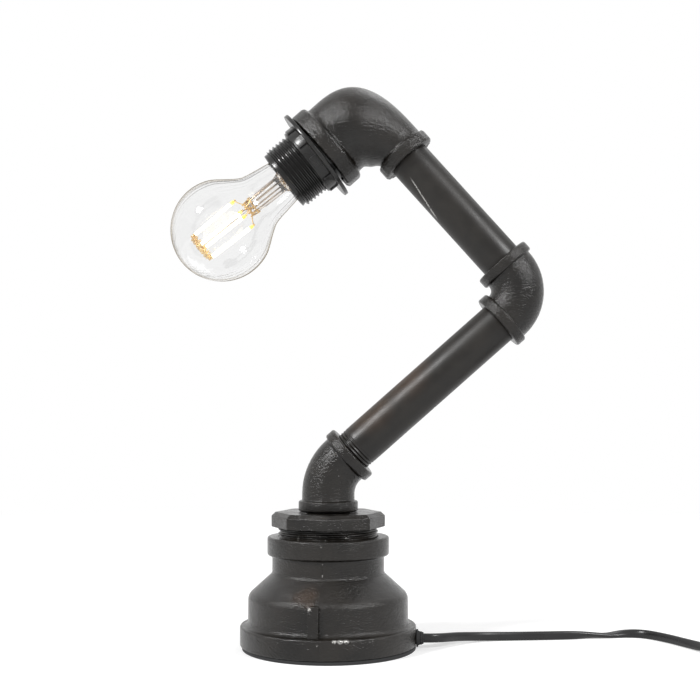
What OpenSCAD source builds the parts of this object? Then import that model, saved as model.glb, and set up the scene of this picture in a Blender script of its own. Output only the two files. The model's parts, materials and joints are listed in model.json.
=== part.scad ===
// Table lamp built from cast iron pipe fittings, with a screw-in bulb and a flat supply cord.
// Millimetres. The origin is where the axis of the base meets the table, +Z is up,
// and the two tubes and the head lie in the XZ plane, with the middle elbow towards +X.

/* [Base] */
// Thickness of the foot pad
pad_t = 2; // [1:0.5:3]
// How far the foot pad stays inside the large band
pad_inset = 0.7; // [0.4:0.1:3]
// Radius of the large band at the foot
foot_band_r = 50.6; // [50:0.2:54]
// Height of the large band
foot_band_h = 10.3; // [9:0.2:14]
// Radius of the large body above the band
base_body_r = 46; // [45:0.2:48]
// Height of the upright wall between the large band and the shoulder
base_wall_h = 15.6; // [12:0.1:24]
// Rounding of the shoulder
shoulder_round = 6; // [3:0.5:8]
// Radius of the neck
neck_r = 32.3; // [31.5:0.1:34]
// Slope of the cone between the shoulder and the neck
cone_slope = 42; // [35:0.5:50]
// Height of the neck between the cone and the small band
neck_h = 8.9; // [6:0.1:16]
// Radius of the small band
top_band_r = 35.1; // [34.5:0.1:38]
// Height of the small band
top_band_h = 12.2; // [8:0.1:14]
// Thread radius of the large socket
foot_thread_r = 43.2; // [42:0.1:44]
// Wall of the cast base
base_wall = 3.4; // [2.5:0.1:4]
// Width of the two cast ribs
rib_w = 6.4; // [4:0.2:9]
// How far the ribs stand out of the body
rib_out = 2.6; // [1.5:0.1:3.4]
// Direction of the first rib, as an angle from +X
rib_angle = -95; // [-130:1:-60]

/* [Bushing] */
// Thread radius of the bushing
bushing_thread_r = 28.8; // [28:0.1:29.2]
// Length of bushing thread inside the base
bushing_in = 17; // [12:0.5:20]
// Bushing thread left showing above the base
bushing_show = 2.3; // [1.5:0.1:5]
// Distance across the corners of the octagon
octagon_corners = 65.8; // [63:0.2:70]
// Height of the octagon
octagon_h = 10; // [8:0.1:13]
// Direction of one corner of the octagon, as an angle from +X
octagon_turn = 5; // [0:1:44]

/* [Tubes] */
// Outside radius of the tubes
tube_r = 12.25; // [12.1:0.05:12.8]
// Inside radius of the tubes
tube_bore_r = 10; // [8.5:0.1:10.8]
// How far a threaded end goes into a fitting
thread_in = 12; // [10:0.5:12.5]
// Radial clearance of every threaded end
thread_gap = 0.06; // [0.03:0.01:0.09]
// Length of lower tube that shows between its fittings
lower_show = 111.8; // [60:0.1:200]
// Length of upper tube that shows between its fittings
upper_show = 80.2; // [40:0.1:160]
// Angle of the lower tube above the horizontal
lower_angle = 41.4; // [30:0.1:60]

/* [Elbows] */
// Outside radius of the small fittings
fitting_r = 15.2; // [14.8:0.1:16]
// Radius of the bands of the small fittings
band_r = 17.2; // [16.4:0.1:18]
// Width of the bands of the small fittings
band_w = 6.2; // [5:0.1:6.5]
// Bend radius of the lower elbow
lower_bend_r = 26; // [24:0.5:28]
// From the corner of the lower elbow to its lower face
lower_leg_in = 21.7; // [21.5:0.1:26]
// From the corner of the lower elbow to its upper face
lower_leg_out = 19.2; // [19:0.1:24]
// Gap between the bushing and the lower elbow
seat_gap = 0.3; // [0.3:0.1:3]
// Bend radius of the middle elbow
middle_bend_r = 19.2; // [18.4:0.2:19.6]
// From the corner of the middle elbow to each face
middle_leg = 25.8; // [25.8:0.1:30]

/* [Head elbow] */
// From the corner of the head elbow to its tube face
head_leg_in = 38.2; // [38:0.1:42]
// From the corner of the head elbow to its mouth
head_leg_out = 36.3; // [36:0.1:40]
// Outside radius behind the mouth band
mouth_body_r = 22.9; // [22.6:0.1:23.4]
// Radius of the mouth band
mouth_band_r = 25.9; // [25:0.1:27]
// Width of the mouth band
mouth_band_w = 9.8; // [8:0.1:11]
// Width of the tube band of the head elbow
head_band_w = 7.4; // [6:0.1:8]
// Thread radius of the mouth
mouth_bore_r = 21; // [20.8:0.05:21.2]
// From the corner to the crotch's centre, towards the mouth
crotch_out = 22.1; // [21.5:0.1:23]
// From the corner to the crotch's centre, towards the tube
crotch_in = 29; // [28.5:0.1:29.5]
// Radius of the crotch between the two legs
crotch_r = 4.7; // [4:0.1:5]
// How square the back of the elbow is: 2 is an ellipse
back_squareness = 2.9; // [2.4:0.1:3.2]

/* [Lampholder] */
// Tilt of the lampholder in the mouth
holder_tilt = 3; // [1:0.1:3.4]
// How far the holder's axis lies above the middle of the mouth
holder_rise = 0.6; // [-0.4:0.1:0.6]
// Outside thread radius of the skirt
skirt_r = 19.7; // [19.5:0.05:19.8]
// Radius of the plain rim at the front of the skirt
rim_r = 18.35; // [18:0.05:18.6]
// Inside radius of the skirt
skirt_bore_r = 16.9; // [16.6:0.1:17.2]
// Length of the skirt in front of the mouth
skirt_front = 25.7; // [24:0.1:30]
// Length of the skirt behind the flange
skirt_back = 9; // [7:0.5:10]
// Length of the plain front rim
rim_l = 2.6; // [1.5:0.1:4]
// Length of the rear cap behind the skirt
cap_l = 17; // [14:0.5:17]

/* [Shade ring] */
// Radius of the flange
flange_r = 29; // [28:0.1:32]
// Thickness of the flange
flange_t = 2.2; // [1.5:0.1:3]
// Radius of the collar
collar_r = 21.1; // [20.9:0.1:22]
// Length of the collar in front of the flange
collar_l = 6.2; // [4:0.1:9]
// Number of grip pads round the collar
grip_count = 9; // [6:1:12]
// How far the grip pads stand out
grip_out = 0.7; // [0.4:0.1:1.2]

/* [Bulb] */
// Radius of the globe
globe_r = 30; // [28:0.5:32]
// Length from the tip of the cap to the far end of the glass
bulb_l = 105; // [102:1:112]
// Radius of the screw cap
screw_r = 13.1; // [13:0.05:13.2]
// Length of the screw cap with its insulator
screw_l = 27; // [25:0.5:28]
// Thickness of the glass
glass_t = 0.8; // [0.6:0.1:1.2]
// Number of filaments
filament_count = 4; // [2:1:6]
// Length of one filament
filament_l = 30; // [24:1:32]

/* [Cord] */
// Width of the flat cord
cord_w = 5.2; // [4.6:0.1:5.4]
// Thickness of the flat cord
cord_t = 3.2; // [2.8:0.1:3.4]
// Radius of the round cable inside the lamp
cable_r = 2.3; // [2:0.1:2.4]
// Height of the cord outlet above the table
outlet_z = 6; // [5.4:0.1:6.4]
// Radius of the hole for the grommet
grommet_r = 3.6; // [3.4:0.1:3.8]
// Bend radius of the outermost turn of the coil
coil_r = 40.7; // [40:0.1:44]
// Distance between turns that lie side by side
coil_pitch = 5.8; // [5.7:0.1:6]
// Distance between the two layers of the coil
coil_rise = 3.8; // [3.7:0.1:4.2]
// Number of turns in the coil
coil_turns = 6.8333; // [6.8333:1:6.8333]

/* [Switch and plug] */
// Length of the in-line switch
switch_l = 54; // [50:1:60]
// Width of the in-line switch
switch_w = 23; // [20:0.5:24]
// Height of the lower shell of the switch
switch_low_h = 7.5; // [6:0.5:9]
// Height of the upper shell of the switch
switch_up_h = 7.5; // [6:0.5:9]
// Width of the plug
plug_w = 35.3; // [34:0.1:36]
// Thickness of the plug
plug_t = 13.7; // [12:0.1:14]
// Length of the plug body
plug_l = 36; // [30:1:42]
// Radius of a plug pin
pin_r = 2; // [2:0.01:2.05]
// Length of a plug pin
pin_l = 19; // [17:0.5:20]
// Distance between the plug pins
pin_gap = 19; // [17.5:0.1:19]

/* [Hidden] */
$fn = 64;

fine_round = 1.2;      // rounding of cast edges
slip = 0.05;           // clearance of parts that sit in each other
part_gap = 0.2;        // gap between pieces of different bodies that face each other
over = 1;              // how far a cut runs past a face
lap = 0.5;             // how far a straight end runs into its bend
lap_step = 0.1;        // how much thicker the straight end is

// ---- heights of the base ----
pad_shift = 0.5;       // the pad is stuck on a little off centre
foot_band_top = pad_t + foot_band_h;
foot_fillet = 3;
shoulder_z = foot_band_top + base_wall_h;
neck_round = 3;
cone_face = 90 - cone_slope;
cone_run = base_body_r - neck_r - (1 - cos(cone_face)) * (shoulder_round + neck_round);
neck_z = shoulder_z + sin(cone_face) * (shoulder_round + neck_round) + cone_run * tan(cone_slope);
top_band_z = neck_z + neck_h;
base_top = top_band_z + top_band_h;
octagon_z = base_top + bushing_show;
bushing_top = octagon_z + octagon_h;
octagon_chamfer = 3.4;
bushing_hollow_r = 22;
bushing_core_h = 15;
elbow_face_z = bushing_top + seat_gap;
nipple_l = 2 * thread_in + seat_gap + over;

// ---- skeleton of the arm, as [x, z] points in its plane ----
function way(a) = [cos(a), sin(a)];
lower_corner = [0, elbow_face_z + lower_leg_in];
upper_angle = lower_angle + 90;
mouth_angle = upper_angle + 90;
lower_reach = lower_leg_out + lower_show + middle_leg;
upper_reach = middle_leg + upper_show + head_leg_in;
middle_corner = lower_corner + lower_reach * way(lower_angle);
head_corner = middle_corner + upper_reach * way(upper_angle);
mouth_centre = head_corner + head_leg_out * way(mouth_angle);
socket_depth = thread_in + over;
waterway_r = tube_bore_r + 0.5;

// ---- lampholder: s runs along its axis from the back of the flange ----
holder_angle = mouth_angle - holder_tilt;
holder_slip = part_gap + (mouth_band_r - fine_round - holder_rise) * sin(holder_tilt);
holder_origin = mouth_centre + holder_rise * way(upper_angle) + holder_slip * way(holder_angle);
cap_r = skirt_r - 1;
cap_wall = 1.6;
cap_hole_r = cable_r + 1;
carrier_r = skirt_bore_r - 0.15;
carrier_front = 0.5;
carrier_t = 8.5;
carrier_back = carrier_front - carrier_t;
well_depth = 4.5;
well_r = 9.5;
contact_t = 1.3;
bulb_tip_s = carrier_front - well_depth + contact_t + part_gap;
shell_gap = 0.35;
shell_wall = 0.5;
shell_l = 17;
terminal_x = 8;

// ---- bulb: t runs along the same axis from the tip of the cap ----
globe_t = bulb_l - globe_r;
insulator_l = 5;
tip_r = 4.4;
tip_l = 1.4;
neck_in_r = 12.5;
stem_r = 4.4;
stem_flare_r = 8;
stem_top_t = globe_t - 22;
filament_r = 1;
filament_low_t = globe_t - 15;
filament_low_r = 8.8;
filament_high_r = 7.4;

// ---- cord ----
band_side_x = sqrt(pow(foot_band_r, 2) - pow(grommet_r, 2));
grommet_flange_t = 1.2;
grommet_flange_r = 5;
grommet_cone_l = 3;
grommet_tip_x = foot_band_r + grommet_flange_t + grommet_cone_l;
on_edge = 90;
flat = 0;
edge_z = cord_w / 2;
flat_z = cord_t / 2;
switch_heading = -30;
switch_in = [225.2, -11.2];
cord_z_switch = 5.2;
// Each point of a route is x, y, z and how far the flat side is turned up.
lead_route = [
  [grommet_tip_x, 0, outlet_z, on_edge], [60, 0.4, outlet_z, on_edge], [66, 4, 5.6, on_edge],
  [75, 13, 4.6, on_edge], [88, 22, 3.2, on_edge], [106, 27, edge_z, on_edge],
  [123, 29.5, edge_z, on_edge], [141, 32.5, edge_z, 78], [153, 36, 2.2, 35],
  [164, 39, flat_z, 0], [176, 41.5, 2.3, -50], [187, 38.5, edge_z, -82],
  [197.5, 26.5, edge_z, -90], [206, 12, edge_z, -80], [213, -0.5, 3, -35],
  [219, -7.2, 4.4, -8], [switch_in[0], switch_in[1], cord_z_switch, flat]];
switch_out = switch_in + switch_l * way(switch_heading);
coil_centre = [270, 31];
coil_start = [coil_centre[0] + coil_r, coil_centre[1] - cord_w];
link_route = [
  [switch_out[0], switch_out[1], cord_z_switch, flat], [278, -41.4, 4.6, flat],
  [287.5, -42.6, 3.4, flat], [297, -38.8, 2.2, flat], [305, -30.5, flat_z, flat],
  [309.6, -19, flat_z, flat], [310.6, -6, flat_z, flat], [310.7, 10, flat_z, flat],
  [coil_start[0], coil_start[1], flat_z, flat]];
coil_end_angle = -60;
coil_end = concat(coil_centre + coil_r * way(coil_end_angle)
                  + cord_w * way(coil_end_angle + 90), [flat_z + coil_rise]);
plug_heading = coil_end_angle + 90;
plug_z = plug_t / 2;
tail_l = 26;
plug_start = [coil_end[0], coil_end[1]] + tail_l * way(plug_heading);
tail_route = [
  [coil_end[0], coil_end[1], coil_end[2], flat],
  [coil_end[0] + tail_l / 3 * cos(plug_heading), coil_end[1] + tail_l / 3 * sin(plug_heading),
   coil_end[2] + 0.3, flat],
  [coil_end[0] + tail_l * 2 / 3 * cos(plug_heading),
   coil_end[1] + tail_l * 2 / 3 * sin(plug_heading), plug_z - 0.3, flat],
  [plug_start[0], plug_start[1], plug_z, flat]];
relief_l = 20;

// ---- colours ----
iron = [0.12, 0.115, 0.11];
black_plastic = [0.05, 0.05, 0.055];
brass = [0.8, 0.65, 0.35];
steel = [0.7, 0.7, 0.72];
clear = [0.85, 0.9, 0.92, 0.35];
glow = [1, 0.85, 0.5];

// ==== helpers ====

// Points of an arc about c, from angle a to angle b.
function arc(c, r, a, b, n = 5) = [for (i = [0:n]) c + r * way(a + (b - a) * i / n)];

// Puts children, drawn in XY, into the arm's plane XZ.
module arm_plane() rotate([90, 0, 0]) children();

// Turns the children's +Z along direction a in the arm's plane, starting at p.
module along(p, a) translate([p[0], p[1], 0]) rotate([0, 0, a]) rotate([0, 90, 0]) children();

// Puts children into the lampholder's frame: +Z along its axis, s = 0 behind the flange.
module in_holder(s = 0)
  arm_plane() along(holder_origin + s * way(holder_angle), holder_angle) children();

// A round band with rounded outer edges, from z = 0 to w.
module band(r, w, e = fine_round)
  rotate_extrude() polygon(concat([[0, 0]], arc([r - e, e], e, -90, 0),
                                  arc([r - e, w - e], e, 0, 90), [[0, w]]));

// A bend of round bar of radius r at a corner in the origin. It comes in along +X and
// leaves at angle bend.
module bend_only(r, bend, bend_r)
  translate([-bend_r * tan(bend / 2), bend_r, 0]) rotate([0, 0, -90])
    rotate_extrude(angle = bend) translate([bend_r, 0]) circle(r);

// The same with straight ends, a shade thicker than the bend, that run on to both faces.
module bend_bar(r, bend, bend_r, leg_in, leg_out) {
  reach = bend_r * tan(bend / 2) - lap;
  bend_only(r - lap_step, bend, bend_r);
  along([-leg_in, 0], 0) cylinder(h = leg_in - reach, r = r);
  along(reach * way(bend), bend) cylinder(h = leg_out - reach, r = r);
}

// A cast elbow with a band and a threaded socket at both faces.
module elbow(bend, bend_r, leg_in, leg_out) {
  difference() {
    union() {
      bend_bar(fitting_r, bend, bend_r, leg_in - over, leg_out - over);
      along([-leg_in, 0], 0) band(band_r, band_w);
      along((leg_out - band_w) * way(bend), bend) band(band_r, band_w);
    }
    bend_only(waterway_r, bend, bend_r);
    along([-leg_in - over, 0], 0) cylinder(h = socket_depth + over, r = tube_r + thread_gap);
    along((leg_out - socket_depth) * way(bend), bend)
      cylinder(h = socket_depth + over, r = tube_r + thread_gap);
  }
}

// A tube along direction a that starts at p.
module tube(p, a, l)
  along(p, a) difference() {
    cylinder(h = l, r = tube_r);
    translate([0, 0, -over]) cylinder(h = l + 2 * over, r = tube_bore_r);
  }

// ==== base ====

module base_outside()
  rotate_extrude() polygon(concat(
    [[0, pad_t]],
    arc([foot_band_r - fine_round, pad_t + fine_round], fine_round, -90, 0),
    arc([foot_band_r - fine_round, foot_band_top - fine_round], fine_round, 0, 90),
    arc([base_body_r + foot_fillet, foot_band_top + foot_fillet], foot_fillet, 270, 180),
    arc([base_body_r - shoulder_round, shoulder_z], shoulder_round, 0, cone_face),
    arc([neck_r + neck_round, neck_z], neck_round, 180 + cone_face, 180),
    arc([neck_r + fine_round, top_band_z - fine_round], fine_round, 180, 90, 3),
    arc([top_band_r - fine_round, top_band_z + fine_round], fine_round, -90, 0),
    arc([top_band_r - fine_round, base_top - fine_round], fine_round, 0, 90),
    [[0, base_top]]));

module base_inside() {
  bushing_hole_r = bushing_thread_r + thread_gap;
  cone_low_r = base_body_r - base_wall;
  socket_z = base_top - bushing_in - over;
  rotate_extrude() polygon([
    [0, pad_t - over], [foot_thread_r, pad_t - over], [foot_thread_r, foot_band_top + over],
    [cone_low_r, foot_band_top + over], [cone_low_r, shoulder_z],
    [neck_r - base_wall, neck_z], [neck_r - base_wall, socket_z],
    [bushing_hole_r, socket_z], [bushing_hole_r, base_top + over], [0, base_top + over]]);
}

module rib()
  translate([0, -rib_w / 2, foot_band_top - over])
    cube([base_body_r + rib_out, rib_w, shoulder_z + shoulder_round / 2 - foot_band_top + over]);

module base_reducer() color(iron)
  difference() {
    union() {
      base_outside();
      for (a = [rib_angle, rib_angle + 180]) rotate([0, 0, a]) rib();
    }
    base_inside();
    translate([0, 0, outlet_z]) rotate([0, 90, 0]) cylinder(h = foot_band_r + over, r = grommet_r + slip);
  }

module base_pad() color(black_plastic) translate([pad_shift, 0, 0]) cylinder(h = pad_t, r = foot_band_r - pad_inset);

module bushing() color(iron)
  difference() {
    union() {
      translate([0, 0, base_top - bushing_in])
        cylinder(h = bushing_in + bushing_show + over, r = bushing_thread_r);
      intersection() {
        translate([0, 0, octagon_z]) rotate([0, 0, octagon_turn])
          cylinder(h = octagon_h, r = octagon_corners / 2, $fn = 8);
        rotate_extrude() polygon([
          [0, octagon_z], [bushing_thread_r + over, octagon_z],
          [octagon_corners / 2 + over, octagon_z + octagon_chamfer],
          [octagon_corners / 2 + over, bushing_top - 0.6],
          [octagon_corners / 2 - 1.2, bushing_top], [0, bushing_top]]);
      }
    }
    cylinder(h = bushing_top + over, r = tube_r + thread_gap);
    cylinder(h = bushing_top - bushing_core_h, r = bushing_hollow_r);
  }

module close_nipple() color(iron)
  translate([0, 0, elbow_face_z + thread_in - nipple_l]) difference() {
    cylinder(h = nipple_l, r = tube_r);
    translate([0, 0, -over]) cylinder(h = nipple_l + 2 * over, r = tube_bore_r);
  }

// ==== arm ====

module lower_elbow() color(iron)
  arm_plane() translate(lower_corner) rotate([0, 0, 90]) rotate([180, 0, 0])
    elbow(90 - lower_angle, lower_bend_r, lower_leg_in, lower_leg_out);

module lower_tube() color(iron)
  arm_plane() tube(lower_corner + (lower_leg_out - thread_in) * way(lower_angle),
                   lower_angle, lower_show + 2 * thread_in);

module middle_elbow() color(iron)
  arm_plane() translate(middle_corner) rotate([0, 0, lower_angle])
    elbow(90, middle_bend_r, middle_leg, middle_leg);

module upper_tube() color(iron)
  arm_plane() tube(middle_corner + (middle_leg - thread_in) * way(upper_angle),
                   upper_angle, upper_show + 2 * thread_in);

// ==== head elbow: drawn with its corner at the origin, tube side along -X, mouth along +Y ====

head_rings = 20;
head_sides = 40;
crotch = [-crotch_in, crotch_out];
back_x = crotch_in + mouth_body_r;
back_y = crotch_out + fitting_r;

// Distance from the crotch's centre to the back of the elbow, in direction a.
function back_reach(a) =
  pow(pow(cos(a) / back_x, back_squareness) + pow(abs(sin(a)) / back_y, back_squareness),
      -1 / back_squareness);

// Distance from the crotch's centre to the near wall, in direction a.
function near_reach(a) =
  let (u = (a + 90) / 90, start = crotch_out - fitting_r, end = crotch_in - mouth_body_r)
  start + (end - start) * u - (start - crotch_r) * sin(180 * u);

// One ring of the cast body, in the plane through the crotch's centre.
function head_ring(a) =
  let (far = back_reach(a), near = near_reach(a), r = (far - near) / 2, m = (far + near) / 2)
  [for (j = [0:head_sides - 1]) let (q = 360 * j / head_sides, d = m + r * cos(q))
    [crotch[0] + d * cos(a), crotch[1] + d * sin(a), r * sin(q)]];

// Triangles between rings of n points each, with a fan at both ends.
function skin(rings, n) = concat(
  [for (j = [1:n - 2]) [0, j + 1, j]],
  [for (i = [0:rings - 2], j = [0:n - 1]) let (k = (j + 1) % n)
    [i * n + j, i * n + k, (i + 1) * n + j]],
  [for (i = [0:rings - 2], j = [0:n - 1]) let (k = (j + 1) % n)
    [i * n + k, (i + 1) * n + k, (i + 1) * n + j]],
  [for (j = [1:n - 2]) let (e = (rings - 1) * n) [e, e + j, e + j + 1]]);

// The body starts and ends with a straight stretch under its bands.
module head_body()
  polyhedron(concat(
      [for (p = head_ring(-90)) [-head_leg_in + over, p[1], p[2]]],
      [for (i = [0:head_rings]) each head_ring(-90 + 90 * i / head_rings)],
      [for (p = head_ring(0)) [p[0], head_leg_out - over, p[2]]]),
    skin(head_rings + 3, head_sides), convexity = 4);

module head_cavity() {
  room_r = (back_reach(-45) - crotch_r) / 2 - base_wall;
  room = crotch + (crotch_r + base_wall + room_r) * way(-37);
  along(room, 0) sphere(room_r);
  along([0, 6], 90) cylinder(h = head_leg_out, r = room_r);
  along([0, crotch_out], 90) cylinder(h = head_leg_out, r = mouth_bore_r);
  along([-head_leg_in, 0], 0) cylinder(h = head_leg_in, r = waterway_r);
  along([-head_leg_in - over, 0], 0) cylinder(h = socket_depth + over, r = tube_r + thread_gap);
}

module head_elbow() color(iron)
  arm_plane() translate(head_corner) rotate([0, 0, upper_angle]) difference() {
    union() {
      head_body();
      along([-head_leg_in, 0], 0) band(band_r, head_band_w);
      along([0, head_leg_out - mouth_band_w], 90) band(mouth_band_r, mouth_band_w, 2 * fine_round);
    }
    head_cavity();
  }

// ==== lampholder ====

module holder_skirt() color(black_plastic)
  in_holder(-skirt_back) difference() {
    union() {
      cylinder(h = skirt_back + skirt_front - rim_l, r = skirt_r);
      cylinder(h = skirt_back + skirt_front, r = rim_r);
    }
    translate([0, 0, -over]) cylinder(h = skirt_back + skirt_front + 2 * over, r = skirt_bore_r);
  }

module holder_cap() color(black_plastic) {
  shoulder_l = 4.2;
  end_r = 9;
  in_holder(-skirt_back - cap_l) rotate_extrude() polygon([
    [cap_hole_r, 0], [end_r, 0], [cap_r, cap_l - shoulder_l], [cap_r, cap_l],
    [cap_r - cap_wall, cap_l], [cap_r - cap_wall, cap_l - shoulder_l + cap_wall / 2],
    [end_r - cap_wall / 2, cap_wall], [cap_hole_r, cap_wall]]);
}

module contact_carrier() color([0.85, 0.83, 0.78]) {
  sleeve_r = screw_r + shell_gap + shell_wall + slip;
  in_holder(carrier_back) difference() {
    union() {
      cylinder(h = carrier_t, r = carrier_r);
      cylinder(h = carrier_t + 5, r = sleeve_r + 1.4);
    }
    translate([0, 0, carrier_t]) cylinder(h = 5 + over, r = sleeve_r);
    translate([0, 0, carrier_t - well_depth]) cylinder(h = well_depth + over, r = well_r);
  }
}

module screw_shell() color(brass)
  in_holder(carrier_front) difference() {
    cylinder(h = shell_l, r = screw_r + shell_gap + shell_wall);
    translate([0, 0, -over]) cylinder(h = shell_l + 2 * over, r = screw_r + shell_gap);
  }

module centre_contact() color(brass)
  in_holder(carrier_front - well_depth) cylinder(h = contact_t, r = 3);

module terminal_screws() color(brass)
  for (x = [-terminal_x, terminal_x])
    in_holder(carrier_back - 1.8) translate([0, x, 0]) cylinder(h = 1.8, r = 2.6);

module shade_ring() color(black_plastic)
  in_holder() difference() {
    union() {
      band(flange_r, flange_t, 0.6);
      cylinder(h = flange_t + collar_l, r = collar_r);
      for (i = [0:grip_count - 1]) rotate([0, 0, 360 * i / grip_count])
        translate([0, -3.5, 0]) cube([collar_r + grip_out, 7, flange_t + collar_l - 1]);
    }
    translate([0, 0, -over]) cylinder(h = flange_t + collar_l + 2 * over, r = skirt_r + 0.3);
  }

// ==== bulb ====

// The glass widens slowly from its neck in the cap, then turns out into the globe.
glass_start = screw_l - 2.4;
neck_low = [neck_in_r, glass_start];
neck_high = [neck_in_r + 5.1, globe_t - 25.5];
join_angle = 113.6;
join = [globe_r * sin(join_angle), globe_t + globe_r * cos(join_angle)];
function curve(a, b, c, d, u) = let (v = 1 - u)
  v * v * v * a + 3 * v * v * u * b + 3 * v * u * u * c + u * u * u * d;
function neck_curve(u) =
  curve(neck_low, neck_low + [1.8, 5.4], neck_high - [1.4, 7.5], neck_high, u);
function flare_curve(u) =
  curve(neck_high, neck_high + [0.8, 4.5], join - 5 * [-cos(join_angle), sin(join_angle)], join, u);
function glass_line(inset) = concat(
  [for (i = [0:5]) neck_curve(i / 6) - [inset, 0]],
  [for (i = [0:6]) flare_curve(i / 7) - [inset, 0]],
  [for (i = [0:14]) let (a = join_angle * (1 - i / 14))
    [(globe_r - inset) * sin(a), globe_t + (globe_r - inset) * cos(a)]]);

module in_bulb(t = 0) in_holder(bulb_tip_s + t) children();

function backwards(list) = [for (i = [len(list) - 1:-1:0]) list[i]];

module bulb_glass() color(clear)
  in_bulb() rotate_extrude() polygon(concat(glass_line(0), backwards(glass_line(glass_t))));

module bulb_cap() color(steel)
  in_bulb() rotate_extrude() polygon([
    [screw_r - 0.5, insulator_l], [screw_r, insulator_l], [screw_r, screw_l - 3.2],
    [screw_r + 1, screw_l - 2.2], [screw_r + 1, screw_l], [screw_r + 0.6, screw_l],
    [screw_r + 0.6, screw_l - 1.8], [screw_r - 0.5, screw_l - 3]]);

module bulb_insulator() color([0.08, 0.08, 0.09])
  in_bulb() rotate_extrude() polygon([
    [0, tip_l], [tip_r + 1.5, tip_l], [screw_r - 2, insulator_l - 0.4],
    [screw_r - 0.6, insulator_l], [screw_r - 0.6, insulator_l + 1], [0, insulator_l + 1]]);

module bulb_tip() color(steel)
  in_bulb() rotate_extrude() polygon(concat(
    [[0, 0]], arc([tip_r - 1, 1], 1, -90, 0, 3), [[tip_r, tip_l], [0, tip_l]]));

module bulb_stem() color(clear)
  in_bulb() rotate_extrude() polygon([
    [0, screw_l + 1], [stem_flare_r, glass_start + 0.4],
    [neck_in_r - glass_t - slip, glass_start + 0.4],
    [stem_flare_r, screw_l + 1], [stem_r + 1, screw_l + 8], [stem_r, stem_top_t - 6],
    [stem_r - 1, stem_top_t], [0, stem_top_t]]);

// A straight round wire between two points.
module wire(a, b, r) {
  d = b - a;
  translate(a) rotate([0, acos(d[2] / norm(d)), atan2(d[1], d[0])]) cylinder(h = norm(d), r = r, $fn = 16);
}

function filament_low(i) = let (a = 360 * (i + 0.5) / filament_count)
  [filament_low_r * cos(a), filament_low_r * sin(a), filament_low_t];
function filament_high(i) = let (a = 360 * (i + 0.5) / filament_count)
  [filament_high_r * cos(a), filament_high_r * sin(a), filament_low_t + filament_l];

module bulb_filaments() color(glow)
  in_bulb() for (i = [0:filament_count - 1]) wire(filament_low(i), filament_high(i), filament_r);

module bulb_wires() color(brass)
  in_bulb() {
    mast_top = [0, 0, filament_low_t + filament_l + 3];
    wire([0, 0, stem_top_t], mast_top, 0.6);
    for (i = [0:filament_count - 1]) {
      low = filament_low(i);
      high = filament_high(i);
      step = (high - low) / norm(high - low);
      wire([0, 0, stem_top_t + 0.6], low - 0.6 * step, 0.4);
      wire(mast_top - [0, 0, 0.6], high + 0.6 * step, 0.4);
    }
  }

// ==== cables inside the lamp ====

module cable_base() color(black_plastic) {
  turn_r = 20;
  arm_plane() {
    along([grommet_tip_x, outlet_z], 180) cylinder(h = grommet_tip_x - turn_r, r = cable_r);
    translate([turn_r, outlet_z + turn_r, 0]) rotate([0, 0, 180])
      rotate_extrude(angle = 90) translate([turn_r, 0]) circle(cable_r);
    along([0, outlet_z + turn_r], 90)
      cylinder(h = elbow_face_z - outlet_z - turn_r - part_gap / 2, r = cable_r);
  }
}

module cable_lower() color(black_plastic)
  arm_plane() translate(lower_corner) rotate([0, 0, 90]) rotate([180, 0, 0])
    bend_bar(cable_r, 90 - lower_angle, lower_bend_r, lower_leg_in - part_gap / 2,
             lower_leg_out + lower_show - part_gap / 2);

module cable_upper() color(black_plastic)
  arm_plane() translate(middle_corner) rotate([0, 0, lower_angle])
    bend_bar(cable_r, 90, middle_bend_r, middle_leg - part_gap / 2,
             middle_leg + upper_show - part_gap / 2);

module cable_head() color(black_plastic) {
  turn_r = 8;
  cable_end = 16;
  arm_plane() translate(head_corner) rotate([0, 0, upper_angle])
    bend_bar(cable_r, 90, turn_r, head_leg_in - part_gap / 2, cable_end);
  fork = [0, 0, -skirt_back - cap_l + 3];
  for (x = [-terminal_x, terminal_x])
    in_holder() wire(fork, [0, x, carrier_back - 1.8 - 0.7], 0.8);
}

// ==== cord ====

module cord_grommet() color(black_plastic)
  translate([0, 0, outlet_z]) rotate([0, 90, 0]) difference() {
    lip_x = sqrt(pow(foot_thread_r, 2) - pow(grommet_flange_r, 2)) - 1.3;
    union() {
      translate([0, 0, lip_x]) cylinder(h = foot_band_r - lip_x + over / 2, r = grommet_r);
      translate([0, 0, lip_x]) cylinder(h = 1, r = outlet_z - pad_t - slip);
      translate([0, 0, foot_band_r]) cylinder(h = grommet_flange_t, r = grommet_flange_r);
      translate([0, 0, foot_band_r + grommet_flange_t])
        cylinder(h = grommet_cone_l, r1 = grommet_flange_r - 0.9, r2 = cable_r + 1);
    }
    translate([0, 0, -over]) cylinder(h = foot_band_r + 20, r = cable_r + slip);
  }

// Smooth curve through the points of a route, with k steps between two of them.
function route_at(p, i, u) =
  let (n = len(p) - 1, a = p[max(i - 1, 0)], b = p[i], c = p[min(i + 1, n)], d = p[min(i + 2, n)])
  0.5 * (2 * b + (c - a) * u + (2 * a - 5 * b + 4 * c - d) * u * u
         + (3 * b - a - 3 * c + d) * u * u * u);
function smooth(p, k) = concat(
  [for (i = [0:len(p) - 2], j = [0:k - 1]) route_at(p, i, j / k)], [p[len(p) - 1]]);

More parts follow.
